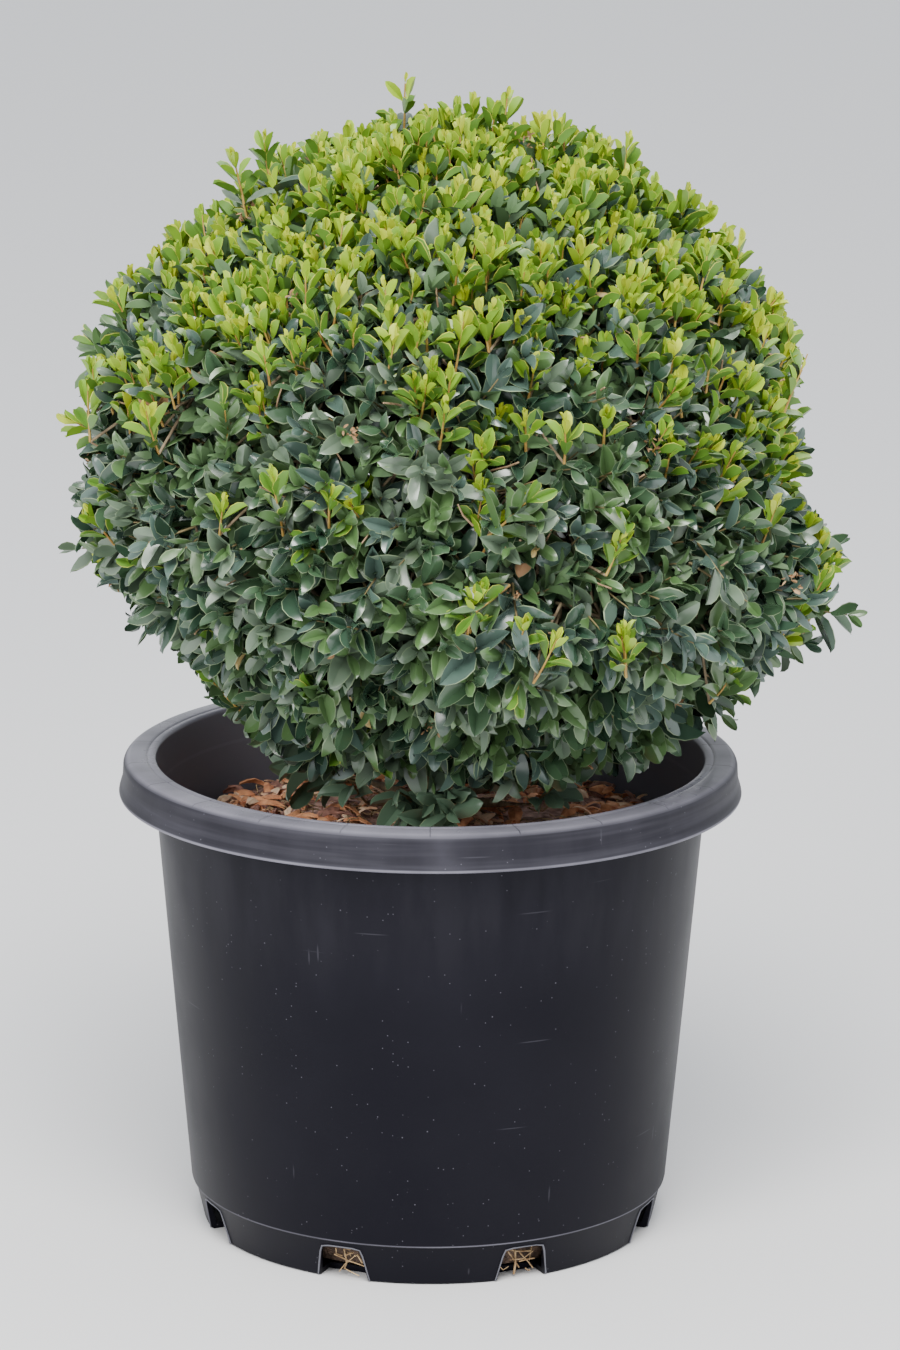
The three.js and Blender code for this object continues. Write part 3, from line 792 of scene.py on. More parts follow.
def pot_plastic(settings):
    """Black plastic with a soft sheen, dusty, hazed and lightly scratched, with painted reflection,
    highlights and light
    """
    roughness = 0.42
    material, tree, shader = new_material("black pot plastic", settings.plastic, roughness)
    place = add_node(tree, "ShaderNodeTexCoord").outputs["Object"]
    dust, marks_and_painted_light = (
        add_node(tree, "ShaderNodeGroup", {"Vector": place}, node_tree=group).outputs
        for group in (dust_group(), pot_marks_and_painted_light_group())
    )
    layers = (
        (dust["Haze"], 0.012),
        (marks_and_painted_light["Bloom"], 0.04),
        # Painted light: the inside wall lightened
        (marks_and_painted_light["Inside"], 0.85),
        # Painted sky reflection with dusty smudges on the rim band
        (marks_and_painted_light["Rim"], 0.14),
        # Painted sky reflection with dust on the rim's top
        (marks_and_painted_light["Top"], 0.95),
        # Painted highlights along the edges, with the real flow mark
        (marks_and_painted_light["Edges"], 0.95),
        (dust["Scratches"], 0.1),
        (dust["Specks"], 0.36),
    )
    colour = settings.plastic
    for mask, share in layers:
        weak = math_node(tree, "MULTIPLY", mask, share)
        colour = mix_node(tree, weak, colour, settings.dust)
    dull = math_node(tree, "MULTIPLY", 0.13, dust["Haze"])
    dull = math_node(tree, "ADD", roughness, dull)
    smooth = math_node(tree, "MULTIPLY", 0.2, marks_and_painted_light["Top"])
    grain = add_node(tree, "ShaderNodeTexNoise", {"Vector": place, "Scale": 900})
    finish = {
        "Base Color": colour,
        "Roughness": math_node(tree, "SUBTRACT", dull, smooth),
        "Specular IOR Level": 0.13,
        "Specular Tint": (0.85, 0.85, 1, 1),
        "Normal": bump_node(tree, grain, 0.06, 0.2 * MM),
    }
    feed(tree, shader, finish)
    return material


def natural(name):
    """A matt natural stuff, made once: mottled between two colours, with a fine relief"""
    if name in bpy.data.materials:
        return bpy.data.materials[name]
    dark, light, roughness, scale, depth, along = STUFFS[name]
    material, tree, shader = new_material(name, dark, roughness)
    place = add_node(tree, "ShaderNodeTexCoord").outputs["Object"]
    group = bpy.data.node_groups.get("Mottled grain") or grain_group()
    values = {"Vector": place, "Scale": scale, "Stretch": (1, 1, along)}
    grain = add_node(tree, "ShaderNodeGroup", values, node_tree=group).outputs
    finish = {
        "Base Color": mix_node(tree, grain["Mottle"], dark, light),
        "Normal": bump_node(tree, grain["Height"], 0.7, depth * MM),
    }
    feed(tree, shader, finish)
    return material


def leaf_skin(name, colour, roughness, specular):
    """A plain waxy leaf colour: the shades are dealt out by spray"""
    material, tree, shader = new_material(name, colour, roughness)
    feed(tree, shader, {"Specular IOR Level": specular})
    return material


# Pot


def wall_radius(height):
    """The wall's outer radius at a height above the step"""
    rise = LIP_HEIGHT - STEP_HEIGHT
    return STEP_RADIUS + (WALL_RADIUS_AT_RIM - STEP_RADIUS) * (height - STEP_HEIGHT) / rise


def arc(centre, radius, start, end, steps):
    """Points of an arc in a profile, between two angles in degrees"""
    turns = [math.radians(start + (end - start) * i / steps) for i in range(steps + 1)]
    return [
        (centre[0] + radius * math.cos(turn), centre[1] + radius * math.sin(turn))
        for turn in turns
    ]


def pot_profile():
    """The pot's section, from the centre of its underside round to its inner floor"""
    top, lip = POT_HEIGHT, LIP_HEIGHT
    inner = wall_radius(top) - WALL
    outer = RIM_RADIUS - 2.1 * MM
    groove = inner + 4.4 * MM
    return [
        (0.0, 0.0),
        (FOOT_RADIUS - 1.2 * MM, 0.0),
        (FOOT_RADIUS, 0.8 * MM),
        (FOOT_TOP_RADIUS, FOOT_TOP_HEIGHT),
        (STEP_RADIUS - 1.2 * MM, STEP_HEIGHT),
        (STEP_RADIUS - 0.2 * MM, STEP_HEIGHT + 0.5 * MM),
        (STEP_RADIUS, STEP_HEIGHT + 1.4 * MM),
        (wall_radius(0.3 * lip), 0.3 * lip),
        (wall_radius(0.6 * lip), 0.6 * lip),
        (wall_radius(lip), lip),
        (wall_radius(top - 6 * MM), top - 6 * MM),
        (wall_radius(top - 4.8 * MM) + 1.2 * MM, top - 4.8 * MM),
        (outer - 3.5 * MM, top - 4.8 * MM),
        (outer - 2.2 * MM, top - 6 * MM),
        (outer, lip + 0.4 * MM),
        *arc((RIM_RADIUS - 1.05 * MM, lip + 0.5 * MM), 1.05 * MM, 205, 355, 5),
        (RIM_RADIUS - 0.2 * MM, lip + 1.6 * MM),
        (RIM_RADIUS - 0.7 * MM, lip + 3.4 * MM),
        (RIM_RADIUS - 1.3 * MM, lip + 5.2 * MM),
        (outer + 0.3 * MM, lip + 7.4 * MM),
        (outer, top - 5 * MM),
        *arc((outer - 4.2 * MM, top - 4.4 * MM), 4.2 * MM, 8, 82, 8),
        (groove + 1.6 * MM, top - 0.05 * MM),
        (groove + 0.7 * MM, top - 0.1 * MM),
        (groove, top - 0.55 * MM),
        (groove - 0.7 * MM, top - 0.15 * MM),
        (groove - 1.8 * MM, top),
        *arc((inner + 1.9 * MM, top - 1.9 * MM), 1.9 * MM, 95, 178, 5),
        (wall_radius(top - 5 * MM) - WALL, top - 5 * MM),
        (wall_radius(0.6 * lip) - WALL, 0.6 * lip),
        (wall_radius(STEP_HEIGHT) - WALL, STEP_HEIGHT + WALL),
        (FOOT_RADIUS - WALL, POT_FLOOR),
        (0.0, POT_FLOOR),
    ]


def lathe(profile, segments):
    """Vertices and faces of a profile turned round Z, its ends on the axis"""
    turns = np.arange(segments) * FULL_TURN / segments
    points, rings = [], []
    for radius, height in profile:
        if radius < TINY:
            rings.append([len(points)] * segments)
            points.append((0, 0, height))
        else:
            rings.append(list(range(len(points), len(points) + segments)))
            points += [(radius * math.cos(t), radius * math.sin(t), height) for t in turns]
    faces = []
    for low, high in zip(rings, rings[1:]):
        for i in range(segments):
            j = (i + 1) % segments
            corners = [low[i], low[j], high[j], high[i]]
            faces.append(tuple(dict.fromkeys(corners)))
    return points, faces


def notch_cutter(turn):
    """A wedge that is wider at the foot and reaches from inside the wall to outside it"""
    near, far = FOOT_RADIUS - 12 * MM, FOOT_RADIUS + 12 * MM
    outline = [
        (-NOTCH_HALF_FOOT, -5 * MM),
        (NOTCH_HALF_FOOT, -5 * MM),
        (NOTCH_HALF_TOP, NOTCH_HEIGHT),
        (-NOTCH_HALF_TOP, NOTCH_HEIGHT),
    ]
    spin = Matrix.Rotation(turn, 3, "Z")
    points = [spin @ Vector((x, -y, z)) for y in (near, far) for x, z in outline]
    faces = [(3, 2, 1, 0), (4, 5, 6, 7)]
    faces += [(i, (i + 1) % 4, (i + 1) % 4 + 4, i + 4) for i in range(4)]
    return points, faces


def cut(piece, points, faces):
    """Takes closed shapes out of a piece"""
    cutter = scene_object("cutter", new_mesh("cutter", points, faces=faces))
    modifier = piece.modifiers.new("cut", "BOOLEAN")
    modifier.operation = "DIFFERENCE"
    modifier.solver = "EXACT"
    modifier.object = cutter
    done = evaluated_mesh(piece)
    piece.modifiers.remove(modifier)
    old = piece.data
    piece.data = done
    bpy.data.meshes.remove(old)
    drop_object(cutter)
    done.name = piece.name


class BOXBALL_OT_pot(bpy.types.Operator):
    """Make the nursery pot with its rolled rim, stepped foot and notches"""

    bl_idname = "box_ball.pot"
    bl_label = "Pot"

    def execute(self, context):
        settings = context.scene.box_ball.pot
        points, faces = lathe(pot_profile(), settings.segments)
        pot = mesh_piece("nursery_pot", points, faces, pot_plastic(settings))
        points, faces = [], []
        for turn in NOTCH_TURNS:
            wedge, sides = notch_cutter(turn)
            faces += [tuple(i + len(points) for i in side) for side in sides]
            points += wedge
        cut(pot, points, faces)
        pot.data.set_sharp_from_angle(angle=SHARP_ANGLE)
        finish_piece(pot, "pot", "pot")
        return {"FINISHED"}


# Potting mix and mulch


def mix_height(radius):
    """The mix's dome at a radius"""
    share = radius / MIX_EDGE_RADIUS
    return MIX_HIGH.z - (MIX_HIGH.z - MIX_EDGE_HEIGHT) * share * share


def mix_surface(x, y):
    """The lumpy top of the mix"""
    height = mix_height(math.hypot(x, y)) - MIX_SINK
    for scale, smoothness, step, octaves, rise in MIX_RELIEF:
        height += noise.fractal(Vector((x, y, 0)) * scale, smoothness, step, octaves) * rise * MM
    return height


def mix_mesh():
    """The mix: a lumpy disc with its side and underside"""
    edge = MIX_EDGE_RADIUS - 0.6 * MM
    profile = [(edge * i / MIX_RINGS, 0.0) for i in range(MIX_RINGS + 1)]
    points, faces = lathe(profile + MIX_SIDE, MIX_SEGMENTS)
    top = 1 + MIX_RINGS * MIX_SEGMENTS
    points[:top] = [(x, y, mix_surface(x, y)) for x, y, _ in points[:top]]
    return points, [tuple(reversed(face)) for face in faces]


def place_on_mix(draw, margin):
    """A place on the mix by chance, inside a margin along its edge"""
    radius = (MIX_EDGE_RADIUS - margin) * math.sqrt(draw())
    turn = FULL_TURN * draw()
    return radius * math.cos(turn), radius * math.sin(turn)


class BOXBALL_OT_potting_mix(bpy.types.Operator):
    """Make the lumpy potting mix that fills the pot"""

    bl_idname = "box_ball.potting_mix"
    bl_label = "Potting mix"

    def execute(self, context):
        piece = mesh_piece("potting_mix_surface", *mix_mesh(), natural("dark potting mix"))
        piece.data.materials.append(natural("damp potting mix"))
        # The side and underside take the darker mix: painted shade
        for polygon in piece.data.polygons:
            polygon.material_index = int(polygon.center.z < MIX_EDGE_HEIGHT - 8 * MM)
        finish_piece(piece, "potting_mix", "potting_mix")
        return {"FINISHED"}


def shape_object(name, points, faces, edge_faces=(), smooth=True):
    """A shape to be stood on points, kept out of the scene"""
    mesh = new_mesh(name, points, faces=faces)
    marks = mesh.attributes.new("edge", "BOOLEAN", "FACE")
    marks.data.foreach_set("value", [i in edge_faces for i in range(len(mesh.polygons))])
    for polygon in mesh.polygons:
        polygon.use_smooth = smooth
    for edge in mesh.edges:
        edge.use_edge_sharp = all(abs(mesh.vertices[i].co.y) < TINY for i in edge.vertices)
    return bpy.data.objects.new(name, mesh)


def shape_collection(name, shapes):
    """A collection of shapes that isn't shown"""
    collection = bpy.data.collections.new(name)
    for shape in shapes:
        collection.objects.link(shape)
    return collection


def drop_collection(collection):
    """Removes the shapes once their copies are real"""
    for shape in list(collection.objects):
        drop_object(shape)
    bpy.data.collections.remove(collection)


def chip_shape(name, draw):
    """A flake of bark, one unit long: thin, curled and ragged at its ends"""
    rows, around = 5, 6
    half_thick, cup = 0.012, 0.07
    points, faces = [], []
    bend = 0.04 + 0.17 * draw()
    for i in range(rows):
        along = i / (rows - 1)
        half = 0.18 * (1 - 0.7 * abs(2 * along - 1) ** 3) * (1 + 0.5 * (draw() - 0.5))
        drift = (draw() - 0.5) * 0.08
        arch = bend * math.sin(math.pi * along)
        for upper, sides in ((1, (-1, 0, 1)), (-1, (1, 0, -1))):
            for side in sides:
                height = arch - cup * abs(side) + upper * half_thick
                points.append((along - 0.5, side * half + drift, height))
    for i in range(rows - 1):
        for k in range(around):
            a, b = i * around + k, i * around + (k + 1) % around
            faces.append((a, b, b + around, a + around))
    last = (rows - 1) * around
    faces += [tuple(reversed(range(around))), tuple(range(last, last + around))]
    return shape_object(name, points, faces, smooth=False)


def scattered(name, tree, shapes, spots, body, edge=None):
    """Stands shapes on spots: each spot is its place, turn, size and kind"""
    places, turns, sizes, kinds = zip(*spots)
    mesh = new_mesh(name + "_points", places)
    carry(mesh, "turn", "QUATERNION", [tuple(turn) for turn in turns])
    carry(mesh, "size", "FLOAT_VECTOR", sizes)
    carry(mesh, "kind", "INT", kinds)
    return grown_piece(name, mesh, tree, {"Shapes": shapes, "Body": body, "Edge": edge or body})


def stems(name, paths, bark, sides):
    """One joined piece of round stems: each path is a list of places and radii"""
    points, edges, thick = [], [], []
    for path in paths:
        first = len(points)
        points += [place for place, _ in path]
        thick += [radius for _, radius in path]
        edges += [(first + i, first + i + 1) for i in range(len(path) - 1)]
    mesh = new_mesh(name + "_paths", points, edges)
    carry(mesh, "thick", "FLOAT", thick)
    tree = bpy.data.node_groups.get("Round stems") or stem_tree("Round stems")
    return grown_piece(name, mesh, tree, {"Sides": sides, "Bark": bark})


class BOXBALL_OT_mulch(bpy.types.Operator):
    """Scatter bark flakes and fibres on the potting mix"""

    bl_idname = "box_ball.mulch"
    bl_label = "Mulch"

    def execute(self, context):
        settings = context.scene.box_ball.mulch
        draw = seeded(settings.seed)
        tree = scatter_tree("Scatter mulch")
        flakes = shape_collection(
            "flakes", [chip_shape(f"flake_{k}", draw) for k in range(FLAKE_KINDS)]
        )
        for name, count, scale in MULCH_LAYERS:
            spots = []
            for _ in range(count):
                x, y = place_on_mix(draw, FLAKE_MARGIN)
                length = settings.chip_length * scale * (0.5 + 0.8 * draw())
                lift = mix_surface(x, y) + (1 + 4 * draw()) * MM
                if draw() > self.cover(x, y):
                    continue
                tilt = Quaternion((1, 0, 0), (draw() - 0.5) * 1.5)
                tilt = Quaternion((0, 1, 0), (draw() - 0.5) * 0.9) @ tilt
                spin = Quaternion(UP, FULL_TURN * draw()) @ tilt
                size = (length, length * (0.45 + 0.8 * draw()), length)
                spots.append(((x, y, lift), spin, size, int(draw() * FLAKE_KINDS)))
            stuff = natural(name.replace("_", " "))
            finish_piece(scattered(name, tree, flakes, spots, stuff), "potting_mix")
        drop_collection(flakes)
        self.fibres(draw)
        return {"FINISHED"}

    def cover(self, x, y):
        """How thickly the flakes lie: in drifts against the wall, but thinly at the front"""
        outward = math.hypot(x, y) / MIX_EDGE_RADIUS
        front = max(0, -y / MIX_EDGE_RADIUS - 0.55)
        drift = 0.6 * noise.noise(Vector((x, y, 0)) * 26)
        return 0.24 + 0.7 * outward**3 - 1.5 * front + drift

    def fibres(self, draw):
        """Pale fibres and fine roots over the mix"""
        paths = []
        for _ in range(FIBRES):
            spot = Vector((*place_on_mix(draw, FIBRE_MARGIN), 0))
            head = FULL_TURN * draw()
            path = []
            for _ in range(FIBRE_POINTS):
                spot.z = mix_surface(spot.x, spot.y) + (1.5 + 4 * draw()) * MM
                path.append((spot.copy(), (0.2 + 0.26 * draw()) * MM))
                head += (draw() - 0.5) * 1.4
                spot = spot + heading(head) * FIBRE_STEP * MM
            paths.append(path)
        finish_piece(stems("mulch_fibres", paths, natural("pale straw"), 3), "potting_mix")


def by_notch(turn, across, height, depth):
    """A point by a notch, in millimetres: across it, up it and in from the wall"""
    rise = min(1, height * MM / FOOT_TOP_HEIGHT)
    radius = FOOT_RADIUS + (FOOT_TOP_RADIUS - FOOT_RADIUS) * rise - depth * MM
    across *= MM
    spot = Vector((across, -math.sqrt(radius * radius - across * across), height * MM))
    return Matrix.Rotation(turn, 3, "Z") @ spot


class BOXBALL_OT_notch_dressing(bpy.types.Operator):
    """Put straw and roots behind the notches and a pale burr round each"""

    bl_idname = "box_ball.notch_dressing"
    bl_label = "Notch straw and burrs"

    def execute(self, context):
        draw = seeded(context.scene.box_ball.mulch.seed + 1)
        burrs, straws = [], []
        for turn in NOTCH_TURNS:
            burrs.append(
                [
                    (by_notch(turn, x, z, -0.1), (0.32 + 0.2 * draw()) * MM)
                    for x, z in NOTCH_OUTLINE
                ]
            )
            for _ in range(NOTCH_STRAWS):
                ends = [
                    ((draw() - 0.5) * 19, 1 + 14.5 * draw(), 3.5 + 7 * draw()) for _ in range(2)
                ]
                middle = [(a + b) / 2 + (draw() - 0.5) * 4 for a, b in zip(*ends)]
                middle[1] = max(1, middle[1])
                thick = (0.22 + 0.34 * draw()) * MM
                rows = (ends[0], middle, ends[1])
                straws.append([(by_notch(turn, *row), thick) for row in rows])
        burr = new_material("pale burr", BURR, BURR_ROUGHNESS)[0]
        finish_piece(stems("notch_burrs", burrs, burr, 5), "pot")
        finish_piece(stems("notch_straw", straws, natural("pale straw"), 4), "potting_mix")
        return {"FINISHED"}


# Trunk and boughs


def bezier(start, bend, end, share):
    """A point of a curve with one bend"""
    return start.lerp(bend, share).lerp(bend.lerp(end, share), share)


def swept(points, faces, curve, radius_at, sides, steps, knots):
    """Adds a tapering limb along a curve, with bark ridges and knots"""
    first = len(points)
    side = RIGHT
    for i in range(steps + 1):
        share = i / steps
        here = curve(share)
        ahead = (curve(min(1, share + 0.01)) - curve(max(0, share - 0.01))).normalized()
        side = (side - ahead * ahead.dot(side)).normalized()
        other = ahead.cross(side)
        for k in range(sides):
            turn = FULL_TURN * k / sides
            out = (side * math.cos(turn) + other * math.sin(turn)) * radius_at(share)
            spot = here + out
            ridge = noise.fractal(spot * RIDGE_SCALE, 0.8, 2.1, 3)
            swell = noise.noise(spot * KNOT_SCALE) * knots
            points.append(here + out * (1 + RIDGE_HEIGHT * ridge + swell))
    for i in range(steps):
        for k in range(sides):
            a, b = first + i * sides + k, first + i * sides + (k + 1) % sides
            faces.append((a, b, b + sides, a + sides))
    faces.append(tuple(first + k for k in reversed(range(sides))))
    faces.append(tuple(first + steps * sides + k for k in range(sides)))


def tapered(foot, tip):
    """A radius that runs from one value to another, in millimetres"""
    return lambda share: (foot + (tip - foot) * share) * MM


def trunk_curve(share):
    """The trunk's own line, from the mix to its top"""
    foot = Vector((0, 0, TRUNK_LOW.z))
    bend = Vector((0, 0, (TRUNK_LOW.z + TRUNK_TOP.z) / 2))
    return bezier(foot, bend, TRUNK_TOP, share)


def trunk_radius(share):
    """The trunk's radius with its root flare"""
    flare = max(0, 1 - share / 0.35)
    return (7 + 2.5 * (1 - share) + 4.5 * flare * flare) * MM


def bough_curve(turn, start, out, height, rise):
    """The line of a bough that leaves the trunk at a share of its height"""
    foot = trunk_curve(start)
    way = heading(turn)
    bend = foot + way * out * MM / 2 + UP * rise * MM
    tip = Vector((TRUNK_TOP.x, TRUNK_TOP.y, height * MM)) + way * out * MM
    return lambda share: bezier(foot, bend, tip, share)


HIGH_TURNS = [math.pi / 4 + k * math.pi / 2 for k in range(4)]
LOW_TURNS = [math.pi / 6 + k * math.pi / 3 for k in range(6)]
# Where a bough leaves the trunk, then how far out and how high its tip is and how it rises, in mm
HIGH_FORM = (0.62, 40, 254, 12)
LOW_FORM = (0.3, 30, 210, 4)
HIGH_BOUGHS = [bough_curve(turn, *HIGH_FORM) for turn in HIGH_TURNS]
LOW_BOUGHS = [bough_curve(turn, *LOW_FORM) for turn in LOW_TURNS]


def numbered(name, rows):
    """The names of the solids that stand for a list of rows"""
    return [f"{name}_{k + 1}" for k in range(len(rows))]


class BOXBALL_OT_limbs(bpy.types.Operator):
    """Make the trunk, its boughs and the limbs that carry the ball"""

    bl_idname = "box_ball.limbs"
    bl_label = "Trunk and boughs"

    def execute(self, context):
        limbs = [(trunk_curve, trunk_radius, 40, 40, 0.12)]
        limbs += [(curve, tapered(4.6, 3.2), 16, 18, 0.1) for curve in HIGH_BOUGHS]
        limbs += [(curve, tapered(3, 2.2), 12, 12, 0.1) for curve in LOW_BOUGHS]
        limbs.append((partial(TRUNK_TOP.lerp, STEM_TOP), tapered(7, 4), 24, 20, 0.1))
        points, faces = [], []
        for limb in limbs:
            swept(points, faces, *limb)
        piece = mesh_piece("trunk_and_boughs", points, faces, natural("box bark"))
        lowest = TRUNK_LOW.z - 1 * MM
        for vertex in piece.data.vertices:
            vertex.co.z = max(vertex.co.z, lowest)
        boughs = numbered("bough", HIGH_BOUGHS) + numbered("low_bough", LOW_BOUGHS)
        finish_piece(piece, "bark", "trunk", *boughs)
        return {"FINISHED"}


# Leaves


def leaf_shape(name, form, stations, half_width, edged):
    """A leaf one unit long, lying along +X with its upper side up, folded at its midrib"""
    fold, arch, cup = form
    points, faces, edges = [(0, 0, 0)], [], []
    lanes = (-1, -0.94, 0, 0.94, 1) if edged else (-1, 0, 1)
    width = len(lanes)
    for along in stations:
        half = half_width(along)
        for lane in lanes:
            rise = fold * abs(lane) * half - cup * (lane * half) ** 2
            points.append((along, lane * half * 0.5, rise + arch * math.sin(math.pi * along)))
    points.append((1, 0, -0.02))
    tip = len(points) - 1
    for k in range(width - 1):
        faces.append((2 + k, 1 + k, 0))
    for i in range(len(stations)):
        for k in range(width - 1):
            a = 1 + i * width + k
            if edged and k in (0, width - 2):
                edges.append(len(faces))
            last = i == len(stations) - 1
            faces.append((a + 1, tip, a) if last else (a + 1, a + width + 1, a + width, a))
    return shape_object(name, points, faces, edges)


def oval(widest, along):
    """Half the width of an oval leaf at a share of its length, blunter at its tip"""
    near = along / widest if along < widest else (1 - along) / (1 - widest)
    return math.sin(math.pi / 2 * near ** (0.9 if along < widest else 0.62))


def spoon(widest, along):
    """Half the width of a spoon-shaped leaf: narrow at its foot, round at its tip"""
    if along < widest:
        return math.sin(math.pi / 2 * (along / widest) ** 1.35)
    return math.sqrt(max(0, 1 - ((along - widest) / (1 - widest)) ** 2))


# Each leaf's widest place, then its fold, arch and cup: full-grown leaves are pointed ovals, and
# those of new growth are spoons, cupped upwards
OLD_FORMS = (
    (0.44, (0.18, 0.06, 0.1)),
    (0.5, (0.1, 0.12, 0.24)),
    (0.42, (0.26, -0.03, 0.05)),
    (0.52, (0.05, 0.16, 0.34)),
    (0.46, (0.22, 0.08, 0)),
)
NEW_FORMS = (
    (0.62, (0.14, -0.06, -0.1)),
    (0.58, (0.2, -0.03, 0)),
    (0.65, (0.1, -0.1, -0.16)),
    (0.6, (0.24, 0.03, 0.08)),
)
# Each kind of leaf: its outline, its forms, the shares of its length at which its width is set,
# and whether it has a pale edge
LEAF_KINDS = {
    "old leaves": (oval, OLD_FORMS, (0.12, 0.34, 0.58, 0.8, 0.94), True),
    "inner leaves": (oval, OLD_FORMS, (0.2, 0.5, 0.85), False),
    "fresh leaves": (spoon, NEW_FORMS, (0.22, 0.5, 0.76, 0.94), True),
}


def leaf_collection(name):
    """The shapes of one kind of leaf, each folded and arched a little differently"""
    outline, forms, stations, edged = LEAF_KINDS[name]
    shapes = [
        leaf_shape(f"leaf_{k}", form, stations, partial(outline, widest), edged)
        for k, (widest, form) in enumerate(forms)
    ]
    return shape_collection(name, shapes)


class Growth:
    """Collects leaves by shade and twigs by kind as the plant grows"""

    def __init__(self):
        self.leaves = {}
        self.twigs = {}

    def leaf(self, shade, root, way, face, length, width, kind):
        """Adds a leaf from its root along a way, its upper side towards face"""
        across = face.cross(way)
        if across.length < TINY:
            across = RIGHT.cross(way)
        across.normalize()
        upper = way.cross(across)
        turn = Matrix((way, across, upper)).transposed().to_quaternion()
        size = (length, width, length)
        self.leaves.setdefault(shade, []).append((tuple(root), turn, size, kind))

    def twig(self, kind, *path):
        """Adds a twig as a path of places and radii in millimetres"""
        rows = [(place, radius * MM) for place, radius in path]
        self.twigs.setdefault(kind, []).append(rows)


def perpendicular(way):
    """A direction square to a way"""
    return way.cross(RIGHT if abs(way.z) > 0.9 else UP).normalized()


def clear_of_pot(point):
    """Whether a point is clear of the rim and the mix"""
    radius = math.hypot(point.x, point.y)
    if point.z > POT_HEIGHT + 3 * MM:
        return True
    if radius > WALL_RADIUS_AT_RIM - 5 * MM:
        return False
    return point.z > mix_height(radius) + 0.5 * MM


def in_ball_box(point):
    """Whether a point lies in the box that the ball's solid fills"""
    low, high = BALL_LOW - MARGIN, BALL_HIGH + MARGIN
    return all(low[i] < point[i] < high[i] for i in range(3))


def in_crown(point):
    """Whether a leaf tip keeps to the ball's own reach, off the pot"""
    return (
        share_of_reach(point) < TIP_LIMIT
        and point.z > BALL_FLOOR
        and in_ball_box(point)
        and clear_of_pot(point)
    )


def free_of_pot(point):
    """Whether a leaf tip of a long shoot keeps to the ball's box, off the pot"""
    return in_ball_box(point) and clear_of_pot(point)


def recoloured(plan, shade):
    """A shoot's plan with all its leaves in one shade"""
    return [(*row[:3], shade) for row in plan]


class Shoots:
    """Grows leafy shoots: pairs of opposite leaves, each pair set across the one below"""

    def __init__(self, growth, crown, draw):
        self.growth = growth
        self.crown = crown
        self.draw = draw

    def pair(self, spot, axis, side, length, splay, wide, shade, inside, droop):
        """One pair of opposite leaves"""
        draw = self.draw
        kinds = len(NEW_FORMS if shade in FRESH_SHADES else OLD_FORMS)
        for hand in (1, -1):
            open_by = math.radians(splay + (draw() - 0.5) * 28)
            out = (Quaternion(axis, (draw() - 0.5) * 0.6) @ (side * hand)).normalized()
            way = axis * math.cos(open_by) + out * math.sin(open_by) - UP * droop * draw() * 2
            way.normalize()
            size = length * (0.8 + 0.36 * draw())
            if not inside(spot + way * size):
                continue
            if shade == "yellowed":
                size *= YELLOWED_SIZE
            face = axis + stray(draw) * 0.9
            width = size * wide * (0.88 + 0.24 * draw())
            self.growth.leaf(shade, spot, way, face, size, width, int(draw() * kinds))

    def length(self, plan):
        """How long a shoot's stem is: new growth sets its pairs closer together"""
        share = FRESH_STEP if plan[-1][3] in FRESH_SHADES else 1
        return len(plan) * self.crown.pair_step * share

    def grow(self, root, axis, plan, inside, droop=0.0, lift=0.03):
        """A shoot from its root along its axis, with a pair for each row of its plan"""
        draw, step = self.draw, self.length(plan) / len(plan)
        side = Quaternion(axis, draw() * math.pi) @ perpendicular(axis)
        spot, bent = root.copy(), axis.copy()
        path = [(root, SHOOT_RADIUS)]
        for k, row in enumerate(plan):
            bent = (bent + UP * lift + stray(draw) * 0.12).normalized()
            ahead = spot + bent * step * (0.8 + 0.45 * draw())
            if not inside(ahead):
                break
            spot = ahead
            side = Quaternion(bent, math.pi / 2 + (draw() - 0.5) * 0.4) @ side
            side = (side - bent * side.dot(bent)).normalized()
            self.pair(spot, bent, side, *row, inside, droop)
            path.append((spot.copy(), SHOOT_RADIUS - SHOOT_TAPER * (k + 1) / len(plan)))
        if len(path) > 1:
            self.growth.twig("fresh" if plan[-1][3] in FRESH_SHADES else "old", *path)

    def old_plan(self, pairs, length, low=0.0):
        """Pairs of full-grown leaves, in one tone with now and then another"""
        draw = self.draw
        tone = OLD_SHADES[int(draw() * len(OLD_SHADES))]
        rows = []
        for left in reversed(range(pairs)):
            shade = tone
            if draw() < OTHER_TONE:
                shade = OLD_SHADES[int(draw() * len(OLD_SHADES))]
            if draw() < YELLOWED:
                shade = "yellowed"
            elif draw() < DEAD:
                shade = "dead"
            size = length * OLD_SIZES[min(left, 4)]
            rows.append((size, 30 + 13 * min(left, 3) + low, OLD_WIDTH, shade))
        return rows

    def fresh_plan(self, pairs, length):
        """Pairs of spoon-shaped new leaves, greener below and yellower at the tip"""
        draw = self.draw
        start = int(draw() * 1.6)
        rows = []
        for left in reversed(range(pairs)):
            tone = max(0, min(len(FRESH_SHADES) - 1, start + left - int(draw() * 1.5)))
            size = length * FRESH_SIZES[min(left, 4)]
            rows.append((size, 6 + 14 * min(left, 4), FRESH_WIDTH, FRESH_SHADES[tone]))
        return rows


def pocket_depth(way):
    """How far the clipped surface sinks in here and there, as a share of the reach"""
    return 0.3 * max(0, -noise.noise(way * 5.2 + POCKET_SHIFT) - 0.2)


def shoulder_drop(way):
    """How much lower than its reach the leaves stand round the top of the dome"""
    around = math.sqrt(max(0, 1 - way.z**2))
    return 0.13 * around * max(0, way.z - 0.35) + 0.1 * max(0, way.z - 0.8)


def under_drop(way):
    """How much the leaves draw in under the ball, most of all on its right"""
    return 0.06 * between((-way.z - 0.3) / 0.2) * (0.5 + 0.5 * max(0, way.x))


def surface_drop(way):
    """How far the leafy surface lies below the reach, as a share of it"""
    return pocket_depth(way) + shoulder_drop(way) + under_drop(way)


